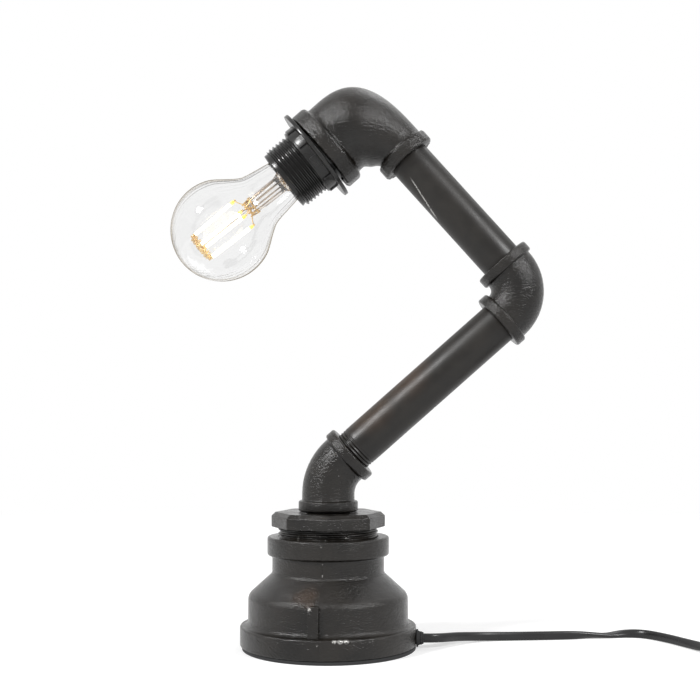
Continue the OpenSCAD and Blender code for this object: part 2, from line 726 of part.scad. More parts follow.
// A flat section of n sides at every point of line. Its first and last rings are square to
// directions first and last.
function heading(line, i) =
  let (a = line[max(i - 1, 0)], b = line[min(i + 1, len(line) - 1)], d = [b[0] - a[0], b[1] - a[1], b[2] - a[2]])
  d / norm(d);
function section(p, d, n) =
  let (side = cross(d, [0, 0, 1]) / norm(cross(d, [0, 0, 1])), up = cross(side, d), roll = p[3])
  [for (j = [0:n - 1]) let (q = 360 * (j + 0.5) / n,
      u = cord_w / 2 * cos(q), v = cord_t / 2 * sin(q))
    [p[0], p[1], p[2]] + (u * cos(roll) - v * sin(roll)) * side + (u * sin(roll) + v * cos(roll)) * up];

module cord_tube(line, n, first, last) {
  end = len(line) - 1;
  points = [for (i = [0:end])
    each section(line[i], i == 0 ? first : i == end ? last : heading(line, i), n)];
  polyhedron(points, skin(end + 1, n), convexity = 6);
}

function level(a) = [cos(a), sin(a), 0];

module cord_lead() color(black_plastic)
  cord_tube(smooth(lead_route, 3), 8, level(0), level(switch_heading));

module cord_link() color(black_plastic)
  cord_tube(smooth(link_route, 2), 8, level(switch_heading), level(90));

module cord_tail() color(black_plastic)
  cord_tube(smooth(tail_route, 2), 8, level(plug_heading), level(plug_heading));

// The coil spirals in along the table, climbs one layer and spirals out again.
coil_steps = 24;
coil_ring_count = round(coil_turns * coil_steps);
function coil_radius(t) =
  let (blunt = 0.12, half = coil_turns / 2)
  coil_r - coil_pitch * (sqrt(half * half + blunt * blunt) - sqrt(pow(t - half, 2) + blunt * blunt));
function coil_height(t) =
  let (u = min(1, max(0, 2 * (t - coil_turns / 2) + 0.5)))
  flat_z + coil_rise * u * u * (3 - 2 * u);
function coil_point(i) =
  let (t = i * coil_turns / coil_ring_count, r = coil_radius(t))
  [coil_centre[0] + r * cos(360 * t), coil_centre[1] + r * sin(360 * t), coil_height(t), flat];
coil_line = concat([[coil_start[0], coil_start[1], flat_z, flat]],
                   [for (i = [0:coil_ring_count]) coil_point(i)],
                   [[coil_end[0], coil_end[1], coil_end[2], flat]]);

// Gap between two places of the coil, measured along the line that joins them.
function coil_gap(a, b) =
  let (d = [b[0] - a[0], b[1] - a[1], b[2] - a[2]], flat_part = norm([d[0], d[1]]) / norm(d),
       up_part = abs(d[2]) / norm(d))
  norm(d) - 2 * norm([cord_w / 2 * flat_part, cord_t / 2 * up_part]);
least_gap = min([for (i = [0:coil_ring_count], j = [i + coil_steps / 2:1:coil_ring_count])
  coil_gap(coil_point(i), coil_point(j))]);
echo(least_gap_of_coil = least_gap);

module cord_coil() color(black_plastic) cord_tube(coil_line, 6, level(90), level(plug_heading));

// ==== in-line switch: drawn along +X from its cord inlet ====

rocker_l = 15;
rocker_w = 8.6;
rocker_pivot_z = switch_low_h + 4.5;
rocker_pin_r = 1.1;
pin_root_r = pin_r - 0.3;
pin_step = 0.4;            // a pin is full size from here on
rocker_pin_l = rocker_w + 4;
rocker_depth = 5.5;

module at_switch()
  translate([switch_in[0], switch_in[1], 0]) rotate([0, 0, switch_heading]) children();

module switch_outline(inset = 0) {
  r = switch_w / 2 - inset;
  nose_w = 11;
  for (x = [switch_w / 2 + 3, switch_l - switch_w / 2 - 3]) translate([x, 0]) circle(r);
  translate([switch_w / 2 + 3, -r]) square([switch_l - switch_w - 6, 2 * r]);
  translate([inset, -nose_w / 2 + inset]) square([switch_l - 2 * inset, nose_w - 2 * inset]);
}

module switch_lower() color(black_plastic)
  at_switch() difference() {
    linear_extrude(switch_low_h) switch_outline();
    translate([switch_l / 2 - rocker_l / 2 - 1, -rocker_w / 2 - 1, switch_low_h - 3])
      cube([rocker_l + 2, rocker_w + 2, 3 + over]);
  }

module switch_upper() color(black_plastic)
  at_switch() difference() {
    union() {
      translate([0, 0, switch_low_h]) linear_extrude(switch_up_h - 1.5) switch_outline();
      translate([0, 0, switch_low_h]) linear_extrude(switch_up_h) switch_outline(1.5);
    }
    translate([switch_l / 2 - rocker_l / 2 - 0.5, -rocker_w / 2 - 0.3, 0])
      cube([rocker_l + 1, rocker_w + 0.6, switch_low_h + switch_up_h + over]);
    translate([switch_l / 2, -rocker_pin_l / 2 - 0.2, rocker_pivot_z]) rotate([-90, 0, 0])
      cylinder(h = rocker_pin_l + 0.4, r = rocker_pin_r + slip);
  }

// The rocker rests pressed down at its far end.
rocker_rest = 9;
module switch_rocker() color([0.1, 0.1, 0.11]) {
  crown_r = 18;
  at_switch() translate([switch_l / 2, 0, rocker_pivot_z]) rotate([0, rocker_rest, 0]) {
    rotate([90, 0, 0]) intersection() {
      linear_extrude(rocker_w, center = true) difference() {
        translate([-rocker_l / 2 + 0.7, -2.8]) square([rocker_l - 1.4, rocker_depth + 3]);
        translate([0, 5.2 + crown_r]) circle(crown_r);
      }
      cylinder(h = rocker_w, r = rocker_l / 2 - 0.3, center = true);
    }
    translate([0, -rocker_pin_l / 2, 0]) rotate([-90, 0, 0]) cylinder(h = rocker_pin_l, r = rocker_pin_r);
  }
}

// ==== plug: drawn along +X from the end of its cord relief ====

module at_plug(x = 0)
  translate([plug_start[0], plug_start[1], plug_z]) rotate([0, 0, plug_heading])
    translate([x, 0, 0]) children();

module plug_body() color(black_plastic) {
  corner = 4;
  back_w = 13;
  back_t = 9.6;
  at_plug(relief_l) difference() {
    union() {
      intersection() {
        linear_extrude(plug_t, center = true) polygon(concat(
          [[0, -back_w / 2], [plug_l * 0.35, -plug_w / 2 + 2.5]],
          arc([plug_l - corner, -plug_w / 2 + corner], corner, -90, 0),
          arc([plug_l - corner, plug_w / 2 - corner], corner, 0, 90),
          [[plug_l * 0.35, plug_w / 2 - 2.5], [0, back_w / 2]]));
        rotate([90, 0, 0]) linear_extrude(plug_w + 2, center = true) polygon([
          [0, -back_t / 2], [plug_l * 0.4, -plug_t / 2], [plug_l, -plug_t / 2],
          [plug_l, plug_t / 2], [plug_l * 0.4, plug_t / 2], [0, back_t / 2]]);
      }
      translate([-relief_l, 0, 0]) rotate([0, 90, 0]) cylinder(h = relief_l + over, r1 = 3.2, r2 = 4.6);
    }
    for (y = [-pin_gap / 2, pin_gap / 2]) translate([plug_l - 8, y, 0]) rotate([0, 90, 0])
      cylinder(h = 8 + over, r = pin_root_r + slip);
  }
}

module plug_pins() color(steel)
  for (y = [-pin_gap / 2, pin_gap / 2])
    at_plug(relief_l + plug_l - 8) translate([0, y, 0]) rotate([0, 90, 0]) {
      cylinder(h = 8 + pin_l - pin_r, r = pin_root_r);
      translate([0, 0, 8 + pin_step]) cylinder(h = pin_l - pin_r - pin_step, r = pin_r);
      translate([0, 0, 8 + pin_l - pin_r]) sphere(pin_r);
    }

base_reducer();
base_pad();
bushing();
close_nipple();
lower_elbow();
lower_tube();
middle_elbow();
upper_tube();
head_elbow();
holder_skirt();
holder_cap();
contact_carrier();
screw_shell();
centre_contact();
terminal_screws();
shade_ring();
bulb_glass();
bulb_cap();
bulb_insulator();
bulb_tip();
bulb_stem();
bulb_filaments();
bulb_wires();
cord_grommet();
cable_base();
cable_lower();
cable_upper();
cable_head();
cord_lead();
switch_lower();
switch_upper();
switch_rocker();
cord_link();
cord_coil();
cord_tail();
plug_body();
plug_pins();
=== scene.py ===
"""Dress a table lamp built from iron pipe fittings, with a clear filament bulb and a flat cord.

Lengths in the dataclasses are millimetres and angles are degrees, as on a drawing; meshes are
made in metres.
"""

from __future__ import annotations

import json
import logging
import math
from dataclasses import dataclass, field
from enum import Enum
from typing import Sequence

import bmesh
import bpy
from mathutils import Matrix, Vector

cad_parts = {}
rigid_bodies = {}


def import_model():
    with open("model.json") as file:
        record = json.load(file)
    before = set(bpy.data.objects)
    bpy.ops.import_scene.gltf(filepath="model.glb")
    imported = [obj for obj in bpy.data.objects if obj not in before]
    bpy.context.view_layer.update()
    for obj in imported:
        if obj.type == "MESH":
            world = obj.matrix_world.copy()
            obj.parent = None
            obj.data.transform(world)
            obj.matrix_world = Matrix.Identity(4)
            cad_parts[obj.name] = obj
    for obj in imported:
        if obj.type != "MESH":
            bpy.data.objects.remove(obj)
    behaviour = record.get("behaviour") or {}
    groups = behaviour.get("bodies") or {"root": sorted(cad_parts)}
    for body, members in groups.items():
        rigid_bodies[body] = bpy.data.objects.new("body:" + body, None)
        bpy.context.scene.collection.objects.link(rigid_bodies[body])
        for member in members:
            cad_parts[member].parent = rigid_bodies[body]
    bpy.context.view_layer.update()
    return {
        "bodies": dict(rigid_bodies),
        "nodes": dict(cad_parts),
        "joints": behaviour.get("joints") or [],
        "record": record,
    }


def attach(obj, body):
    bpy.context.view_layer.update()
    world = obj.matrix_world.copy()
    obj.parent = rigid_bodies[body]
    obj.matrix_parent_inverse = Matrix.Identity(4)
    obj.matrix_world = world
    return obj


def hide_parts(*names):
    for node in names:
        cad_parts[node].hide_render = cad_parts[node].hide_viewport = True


log = logging.getLogger("pipe_lamp")

MM = 0.001
MERGE = 8e-6  # metres; nearer points of a turned piece are one
THIN_MERGE = 1e-6  # for walls thinner than that
CAD_MERGE = 2e-6  # for copies of the CAD's loose triangles
UP = Vector((0, 0, 1))
ACROSS = Vector((0, 1, 0))

Point = tuple[float, float]
Profile = Sequence[Point]
Colour = tuple[float, float, float, float]
Spot = tuple[float, float, float, float]  # place and radius
Line = tuple[float, float, float, float]  # x and z of both ends
Piece = bpy.types.Object
Node = bpy.types.Node
Output = bpy.types.NodeSocket


class Body(Enum):
    """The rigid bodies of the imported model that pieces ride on."""

    BASE = "base"
    LOWER_ARM = "lower_arm"
    UPPER_ARM = "upper_arm"
    HEAD = "head"
    SHADE_CLAMP = "shade_clamp"
    BULB = "bulb"
    ROCKER = "rocker"


def way(degrees: float) -> Vector:
    """Return the unit vector at an angle in the arm's plane, measured from +X towards +Z."""
    a = math.radians(degrees)
    return Vector((math.cos(a), 0.0, math.sin(a)))


def heading(degrees: float) -> Vector:
    """Return the unit vector at an angle on the table, measured from +X towards +Y."""
    a = math.radians(degrees)
    return Vector((math.cos(a), math.sin(a), 0.0))


def arc(centre: Point, radius: float, start: float, end: float, steps: int = 4) -> list[Point]:
    """Return points of an arc in a profile, from one angle to another.

    Args:
        centre: Its centre, as radius and distance.
        radius: Its radius.
        start: Its first angle, in degrees.
        end: Its last angle, in degrees.
        steps: The number of stretches it is cut into.

    Returns:
        Its points.
    """
    points = []
    for i in range(steps + 1):
        a = math.radians(start + (end - start) * i / steps)
        points.append((centre[0] + radius * math.cos(a), centre[1] + radius * math.sin(a)))
    return points


def rim(radius: float, low: float, high: float, edge: float, steps: int = 4) -> list[Point]:
    """Return the profile of a band or a disc with rounded edges, from its low face to its high.

    Args:
        radius: The radius of its side.
        low: The distance of its first face.
        high: The distance of its last face.
        edge: The rounding of its edges.
        steps: The number of stretches in each rounding.

    Returns:
        The profile.
    """
    return (arc((radius - edge, low + edge), edge, -90, 0, steps)
            + arc((radius - edge, high - edge), edge, 0, 90, steps))


def rows(radius: float, start: float, end: float, step: float) -> list[Point]:
    """Return evenly spaced rings of one radius in a profile.

    Args:
        radius: The radius.
        start: The distance of the first ring.
        end: The distance of the last ring.
        step: The spacing wished for.

    Returns:
        The profile.
    """
    count = max(1, round(abs(end - start) / step))
    return [(radius, start + (end - start) * i / count) for i in range(count + 1)]


@dataclass
class Skeleton:
    """Heights, corners and directions of the lamp, worked out from its named sizes."""

    pad_t: float = 2.0
    foot_band_r: float = 50.6
    foot_band_h: float = 10.3
    body_r: float = 46.0
    wall_h: float = 15.6
    shoulder_round: float = 6.0
    neck_r: float = 32.3
    neck_round: float = 3.0
    cone_slope: float = 42.0
    neck_h: float = 8.9
    top_band_r: float = 35.1
    top_band_h: float = 12.2
    octagon_gap: float = 2.3
    octagon_h: float = 10.0
    seat_gap: float = 0.3
    lower_leg_in: float = 21.7
    lower_leg_out: float = 19.2
    lower_show: float = 111.8
    middle_leg: float = 25.8
    upper_show: float = 80.2
    head_leg_in: float = 38.2
    head_leg_out: float = 36.3
    lower_angle: float = 41.4
    holder_tilt: float = 3.0
    holder_rise: float = 0.6
    holder_gap: float = 0.2
    edge: float = 1.2
    mouth_band_r: float = 25.9
    bulb_tip_s: float = -2.5

    def __post_init__(self) -> None:
        """Work out the derived heights and corners."""
        face = math.radians(90 - self.cone_slope)
        rounds = self.shoulder_round + self.neck_round
        run = self.body_r - self.neck_r - (1 - math.cos(face)) * rounds
        self.foot_band_z = self.pad_t + self.foot_band_h
        self.shoulder_z = self.foot_band_z + self.wall_h
        self.neck_z = (self.shoulder_z + math.sin(face) * rounds
                       + run * math.tan(math.radians(self.cone_slope)))
        self.top_band_z = self.neck_z + self.neck_h
        self.base_top = self.top_band_z + self.top_band_h
        self.octagon_z = self.base_top + self.octagon_gap
        self.octagon_top = self.octagon_z + self.octagon_h
        self.elbow_face_z = self.octagon_top + self.seat_gap
        self.upper_angle = self.lower_angle + 90
        self.mouth_angle = self.upper_angle + 90
        self.holder_angle = self.mouth_angle - self.holder_tilt
        self.lower_corner = Vector((0, 0, self.elbow_face_z + self.lower_leg_in))
        lower_reach = self.lower_leg_out + self.lower_show + self.middle_leg
        upper_reach = self.middle_leg + self.upper_show + self.head_leg_in
        self.middle_corner = self.lower_corner + lower_reach * way(self.lower_angle)
        self.head_corner = self.middle_corner + upper_reach * way(self.upper_angle)
        self.mouth = self.head_corner + self.head_leg_out * way(self.mouth_angle)
        seat_r = self.mouth_band_r - self.edge - self.holder_rise
        slip = self.holder_gap + seat_r * math.sin(math.radians(self.holder_tilt))
        self.holder_origin = (self.mouth + self.holder_rise * way(self.upper_angle)
                              + slip * way(self.holder_angle))

    def on_holder(self, s: float) -> Vector:
        """Return the point on the lampholder's axis at distance s in front of the flange's back."""
        return self.holder_origin + s * way(self.holder_angle)


class Bench:
    """Small helpers round Blender's operators, so that each call acts on one piece alone."""

    @staticmethod
    def clear() -> None:
        """Leave edit mode and deselect everything."""
        if bpy.context.object and bpy.context.object.mode != "OBJECT":
            bpy.ops.object.mode_set(mode="OBJECT")
        bpy.ops.object.select_all(action="DESELECT")

    @staticmethod
    def pick(piece: Piece) -> None:
        """Make one piece the only selected and the active one."""
        Bench.clear()
        piece.select_set(True)
        bpy.context.view_layer.objects.active = piece

    @staticmethod
    def edit(piece: Piece) -> None:
        """Enter edit mode on one piece with all of it selected."""
        Bench.pick(piece)
        bpy.ops.object.mode_set(mode="EDIT")
        bpy.ops.mesh.select_all(action="SELECT")

    @staticmethod
    def settle(piece: Piece) -> None:
        """Move the piece's place into its mesh, so that its object sits at the origin."""
        Bench.pick(piece)
        bpy.ops.object.transform_apply(location=True, rotation=True, scale=True)

    @staticmethod
    def modify(piece: Piece, kind: str, **values: object) -> None:
        """Add a modifier with the given settings and apply it.

        Args:
            piece: The piece to change.
            kind: Blender's name for the type of modifier.
            **values: Settings of the modifier.
        """
        Bench.pick(piece)
        modifier = piece.modifiers.new(kind.title(), kind)
        for key, value in values.items():
            setattr(modifier, key, value)
        bpy.ops.object.modifier_apply(modifier=modifier.name)

    @staticmethod
    def finish(piece: Piece, smooth: float = 32.0, merge: float = MERGE) -> None:
        """Merge doubles, turn the faces outwards and shade the piece.

        Args:
            piece: The piece to finish.
            smooth: Edges sharper than this many degrees stay sharp.
            merge: Points nearer than this are merged, in metres.
        """
        Bench.edit(piece)
        bpy.ops.mesh.remove_doubles(threshold=merge)
        bpy.ops.mesh.dissolve_degenerate(threshold=1e-7)
        bpy.ops.mesh.select_all(action="SELECT")
        bpy.ops.mesh.normals_make_consistent(inside=False)
        bpy.ops.object.mode_set(mode="OBJECT")
        bpy.ops.object.shade_smooth_by_angle(angle=math.radians(smooth))

    @staticmethod
    def combine(piece: Piece, other: Piece, operation: str = "UNION") -> None:
        """Join two closed pieces with a Boolean modifier, and remove the second one.

        Args:
            piece: The piece that stays.
            other: The piece that is added or taken away.
            operation: The modifier's operation.
        """
        Bench.modify(piece, "BOOLEAN", operation=operation, solver="EXACT", object=other)
        bpy.data.objects.remove(other, do_unlink=True)

    @staticmethod
    def soften(piece: Piece, width: float, segments: int = 2, angle: float = 30.0) -> None:
        """Round the sharp edges of a piece.

        Args:
            piece: The piece to change.
            width: The width of the rounding, in millimetres.
            segments: The number of faces across it.
            angle: Edges sharper than this many degrees are rounded.
        """
        Bench.modify(piece, "BEVEL", width=width * MM, segments=segments, limit_method="ANGLE",
                     angle_limit=math.radians(angle), use_clamp_overlap=True,
                     miter_outer="MITER_ARC")

    @staticmethod
    def copy_of(node: Piece, name: str) -> Piece:
        """Copy a CAD node's loose triangles into a clean piece of joined faces.

        Args:
            node: The CAD node.
            name: The name of the copy.

        Returns:
            The copy.
        """
        piece = bpy.data.objects.new(name, node.data.copy())
        piece.data.materials.clear()
        bpy.context.scene.collection.objects.link(piece)
        Bench.edit(piece)
        bpy.ops.mesh.remove_doubles(threshold=CAD_MERGE)
        bpy.ops.mesh.select_all(action="SELECT")
        bpy.ops.mesh.dissolve_limited(angle_limit=math.radians(1))
        bpy.ops.mesh.select_all(action="SELECT")
        bpy.ops.mesh.normals_make_consistent(inside=False)
        bpy.ops.object.mode_set(mode="OBJECT")
        return piece

    @staticmethod
    def block(name: str, low: Sequence[float], high: Sequence[float], turn: float) -> Piece:
        """Add a box.

        Args:
            name: Its name.
            low: Its lowest corner before it is turned, in millimetres.
            high: Its highest corner before it is turned, in millimetres.
            turn: Its turn about Z, in degrees.

        Returns:
            The box.
        """
        Bench.clear()
        a, b = Vector(low), Vector(high)
        rotation = Matrix.Rotation(math.radians(turn), 3, "Z")
        bpy.ops.mesh.primitive_cube_add(
            size=1.0, location=(rotation @ ((a + b) / 2)) * MM,
            rotation=(0, 0, math.radians(turn)), scale=(b - a) * MM)
        piece = bpy.context.object
        piece.name = name
        Bench.settle(piece)
        return piece

    @staticmethod
    def sheet(name: str, points: Sequence[Vector], faces: Sequence[Sequence[int]],
              smooth: float, merge: float = MERGE) -> Piece:
        """Make a piece from points and faces.

        Args:
            name: The name of the piece.
            points: Its points, in millimetres.
            faces: The numbers of each face's points.
            smooth: Edges sharper than this many degrees stay sharp.
            merge: Points nearer than this are merged, in metres.

        Returns:
            The finished piece.
        """
        mesh = bpy.data.meshes.new(name)
        mesh.from_pydata([p * MM for p in points], [], faces)
        piece = bpy.data.objects.new(name, mesh)
        bpy.context.scene.collection.objects.link(piece)
        Bench.finish(piece, smooth, merge)
        return piece

    @staticmethod
    def join(pieces: Sequence[Piece], name: str) -> Piece:
        """Join pieces into the first of them and name it.

        Args:
            pieces: The pieces, two or more.
            name: The name of the result.

        Returns:
            The joined piece.
        """
        Bench.clear()
        for piece in pieces:
            piece.select_set(True)
        bpy.context.view_layer.objects.active = pieces[0]
        bpy.ops.object.join()
        pieces[0].name = name
        return pieces[0]


class Lathe:
    """Grows a ring along a path by extruding, scaling and spinning it, as by hand."""

    LEAST = 0.001  # millimetres; a ring on the axis has this radius and merges to a point

    def __init__(self, name: str, start: Vector, along: Vector, radius: float,
                 sides: int = 96, turn: float = 0.0) -> None:
        """Add the first ring.

        Args:
            name: The name of the piece.
            start: The middle of the ring, in millimetres.
            along: The direction in which the piece grows.
            radius: The radius of the ring, in millimetres.
            sides: The number of points on the ring.
            turn: The turn of the ring about its axis, in degrees.
        """
        Bench.clear()
        self.centre = start.copy()
        self.along = along.normalized()
        self.radius = max(radius, self.LEAST)
        bpy.ops.mesh.primitive_circle_add(
            vertices=sides, radius=self.radius * MM, fill_type="NOTHING",
            location=self.centre * MM,
            rotation=(self.along.to_track_quat("Z", "Y")
                      @ Matrix.Rotation(math.radians(turn), 3, "Z").to_quaternion()).to_euler())
        self.piece = bpy.context.object
        self.piece.name = name
        Bench.settle(self.piece)
        Bench.edit(self.piece)

    def to(self, ahead: float, radius: float) -> "Lathe":
        """Extrude the ring to a new distance from where the last one lies, and scale it.

        Args:
            ahead: How far the new ring lies ahead, in millimetres.
            radius: The new radius, in millimetres.

        Returns:
            The lathe itself.
        """
        radius = max(radius, self.LEAST)
        bpy.ops.mesh.extrude_region_move(
            TRANSFORM_OT_translate={"value": self.along * ahead * MM})
        self.centre = self.centre + self.along * ahead
        k = radius / self.radius
        if abs(k - 1) > 1e-9:
            bpy.ops.transform.resize(value=(k, k, k), center_override=self.centre * MM)
        self.radius = radius
        return self

    def follow(self, profile: Profile) -> "Lathe":
        """Run through a profile of (radius, distance) pairs, whose first pair is where it is.

        Args:
            profile: The profile, in millimetres.

        Returns:
            The lathe itself.
        """
        last = profile[0][1]
        for radius, distance in profile[1:]:
            self.to(distance - last, radius)
            last = distance
        return self

    def bend(self, towards: Vector, bend_radius: float, angle: float, steps: int) -> "Lathe":
        """Spin the ring round a bend.

        Args:
            towards: The direction from the ring to the bend's centre.
            bend_radius: The radius of the bend, in millimetres.
            angle: The angle of the bend, in degrees.
            steps: The number of rings it takes.

        Returns:
            The lathe itself.
        """
        centre = self.centre + towards.normalized() * bend_radius
        axis = self.along.cross(towards).normalized()
        bpy.ops.mesh.spin(steps=steps, angle=math.radians(angle), center=centre * MM, axis=-axis)
        turn = Matrix.Rotation(math.radians(angle), 3, axis)
        self.centre = centre + turn @ (self.centre - centre)
        self.along = turn @ self.along
        return self

    def close(self, smooth: float = 32.0) -> Piece:
        """Merge doubles, fill the open ends and return the finished piece.

        Args:
            smooth: Edges sharper than this many degrees stay sharp.

        Returns:
            The finished piece.
        """
        bpy.ops.mesh.select_all(action="SELECT")
        bpy.ops.mesh.remove_doubles(threshold=MERGE)
        bpy.ops.mesh.select_all(action="DESELECT")
        bpy.ops.mesh.select_non_manifold(extend=False, use_wire=False, use_multi_face=False,
                                         use_non_contiguous=False, use_verts=False)
        if any(v.select for v in bmesh.from_edit_mesh(self.piece.data).verts):
            bpy.ops.mesh.edge_face_add()
        bpy.ops.object.mode_set(mode="OBJECT")
        Bench.finish(self.piece, smooth)
        return self.piece


def lathe(name: str, start: Vector, along: Vector, profile: Profile, sides: int = 96,
          smooth: float = 32.0, turn: float = 0.0) -> Piece:
    """Turn a profile about an axis.

    Args:
        name: The name of the piece.
        start: The point on the axis from which distances count, in millimetres.
        along: The direction of the axis.
        profile: Pairs of radius and distance, in millimetres.
        sides: The number of points round the axis.
        smooth: Edges sharper than this many degrees stay sharp.
        turn: The turn about the axis, in degrees.

    Returns:
        The finished piece.
    """
    first = start + along.normalized() * profile[0][1]
    return Lathe(name, first, along, profile[0][0], sides, turn).follow(profile).close(smooth)


def rod(name: str, start: Vector, end: Vector, radius: float, sides: int = 16,
        blunt: float = 0.25) -> Piece:
    """Make a round bar between two points, with rounded ends.

    Args:
        name: The name of the piece.
        start: Its first end, in millimetres.
        end: Its other end, in millimetres.
        radius: Its radius, in millimetres.
        sides: The number of points round it.
        blunt: The rounding of its ends as a share of the radius.

    Returns:
        The bar.
    """
    length = (end - start).length
    profile = [(0.0, 0.0)] + rim(radius, 0.0, length, blunt * radius, 3) + [(0.0, length)]
    return lathe(name, start, end - start, profile, sides)


def skin(name: str, rings: Sequence[Sequence[Vector]], smooth: float = 40.0) -> Piece:
    """Make a closed tube through rings of equal size.

    Args:
        name: The name of the piece.
        rings: The rings, in millimetres.
        smooth: Edges sharper than this many degrees stay sharp.

    Returns:
        The piece.
    """
    n = len(rings[0])
    faces = [[i * n + j, i * n + (j + 1) % n, (i + 1) * n + (j + 1) % n, (i + 1) * n + j]
             for i in range(len(rings) - 1) for j in range(n)]
    faces.append(list(range(n)))
    faces.append([(len(rings) - 1) * n + j for j in reversed(range(n))])
    return Bench.sheet(name, [p for ring in rings for p in ring], faces, smooth)


@dataclass(frozen=True)
class Thread:
    """A helical thread that is cut into a turned piece."""

    start: Vector
    along: Vector
    pitch: float
    depth: float
    first: float
    last: float
    fade: float = 1.0
    inner: float = 0.0
    crest: float = 0.2

    def cut(self, piece: Piece) -> None:
        """Sink the helical groove into the rings of a piece.

        Args:
            piece: The turned piece, with several rings to each pitch.
        """
        axis = self.along.normalized()
        u = axis.orthogonal().normalized()
        v = axis.cross(u)
        for vert in piece.data.vertices:
            q = vert.co / MM - self.start
            s = q.dot(axis)
            out = q - s * axis
            if not self.first < s < self.last or out.length < self.inner:
                continue
            turn = math.atan2(out.dot(v), out.dot(u)) / (2 * math.pi)
            height = abs(2 * ((s / self.pitch - turn) % 1.0) - 1)
            share = (1 - self.crest - height) / (1 - 2 * self.crest)
            ends = min(1.0, (s - self.first) / self.fade, (self.last - s) / self.fade)
            vert.co -= out.normalized() * self.depth * min(1.0, max(0.0, share)) * ends * MM
        piece.data.update()


# ---- finishes ----


def rgba(red: float, green: float, blue: float) -> Colour:
    """Return a linear colour with full alpha."""
    return (red, green, blue, 1.0)


def grey(tone: float) -> Colour:
    """Return a neutral colour."""
    return rgba(tone, tone, tone)


class Graph:
    """A node tree with short calls to add and join nodes."""

    def __init__(self, tree: bpy.types.NodeTree) -> None:
        """Take the tree that nodes are added to."""
        self.tree = tree

    def put(self, node: Node, key: str | int, value: object) -> None:
        """Join an output to a node's input, or set the input's own value.

        Args:
            node: The node.
            key: The name or number of its input.
            value: An output, or a value.
        """
        target = node.inputs[key]
        if isinstance(value, Output):
            self.tree.links.new(value, target)
        else:
            target.default_value = value

    def add(self, kind: str, values: dict[str | int, object] | None = None,
            **settings: object) -> Node:
        """Add a node.

        Args:
            kind: The node's type.
            values: Inputs with a value, or with an output to join.
            **settings: Properties of the node.

        Returns:
            The node.
        """
        node = self.tree.nodes.new(kind)
        for key, value in settings.items():
            setattr(node, key, value)
        for key, value in (values or {}).items():
            self.put(node, key, value)
        return node

    def math(self, operation: str, *values: object) -> Output:
        """Add a Math node and return its output."""
        return self.add("ShaderNodeMath", dict(enumerate(values)), operation=operation).outputs[0]

    def vector(self, operation: str, *values: object, output: str = "Value") -> Output:
        """Add a Vector Math node and return the named output."""
        node = self.add("ShaderNodeVectorMath", dict(enumerate(values)), operation=operation)
        return node.outputs[output]

    def ramp(self, source: Output, low: object, high: object, start: float = 0.0,
             end: float = 1.0) -> Output:
        """Map a value smoothly from low..high to start..end.

        Args:
            source: The value.
            low: The value that gives start.
            high: The value that gives end.
            start: The first result.
            end: The last result.

        Returns:
            The result.
        """
        values = {"Value": source, "From Min": low, "From Max": high, "To Min": start,
                  "To Max": end}
        return self.add("ShaderNodeMapRange", values,
                        interpolation_type="SMOOTHSTEP").outputs["Result"]

    def mix(self, amount: object, a: object, b: object) -> Output:
        """Mix two colours and return the colour."""
        return self.add("ShaderNodeMix", {0: amount, 6: a, 7: b}, data_type="RGBA").outputs[2]

    def place(self) -> Output:
        """Return the Object coordinates."""
        return self.add("ShaderNodeTexCoord").outputs["Object"]

    def noise(self, place: Output, scale: object, detail: float, roughness: float = 0.5
              ) -> Output:
        """Add a Noise Texture and return its value.

        Args:
            place: The coordinates.
            scale: How fine it is.
            detail: How many finer layers it has.
            roughness: How strong they are.

        Returns:
            The value, from 0 to 1.
        """
        values = {"Vector": place, "Scale": scale, "Detail": detail, "Roughness": roughness}
        return self.add("ShaderNodeTexNoise", values).outputs["Fac"]

    def seen(self) -> Output:
        """Return 1 for camera, glossy and transmission rays, which see the backdrop as white."""
        path = self.add("ShaderNodeLightPath")
        straight = self.math("MAXIMUM", path.outputs["Is Camera Ray"],
                             path.outputs["Is Glossy Ray"])
        return self.math("MAXIMUM", straight, path.outputs["Is Transmission Ray"])


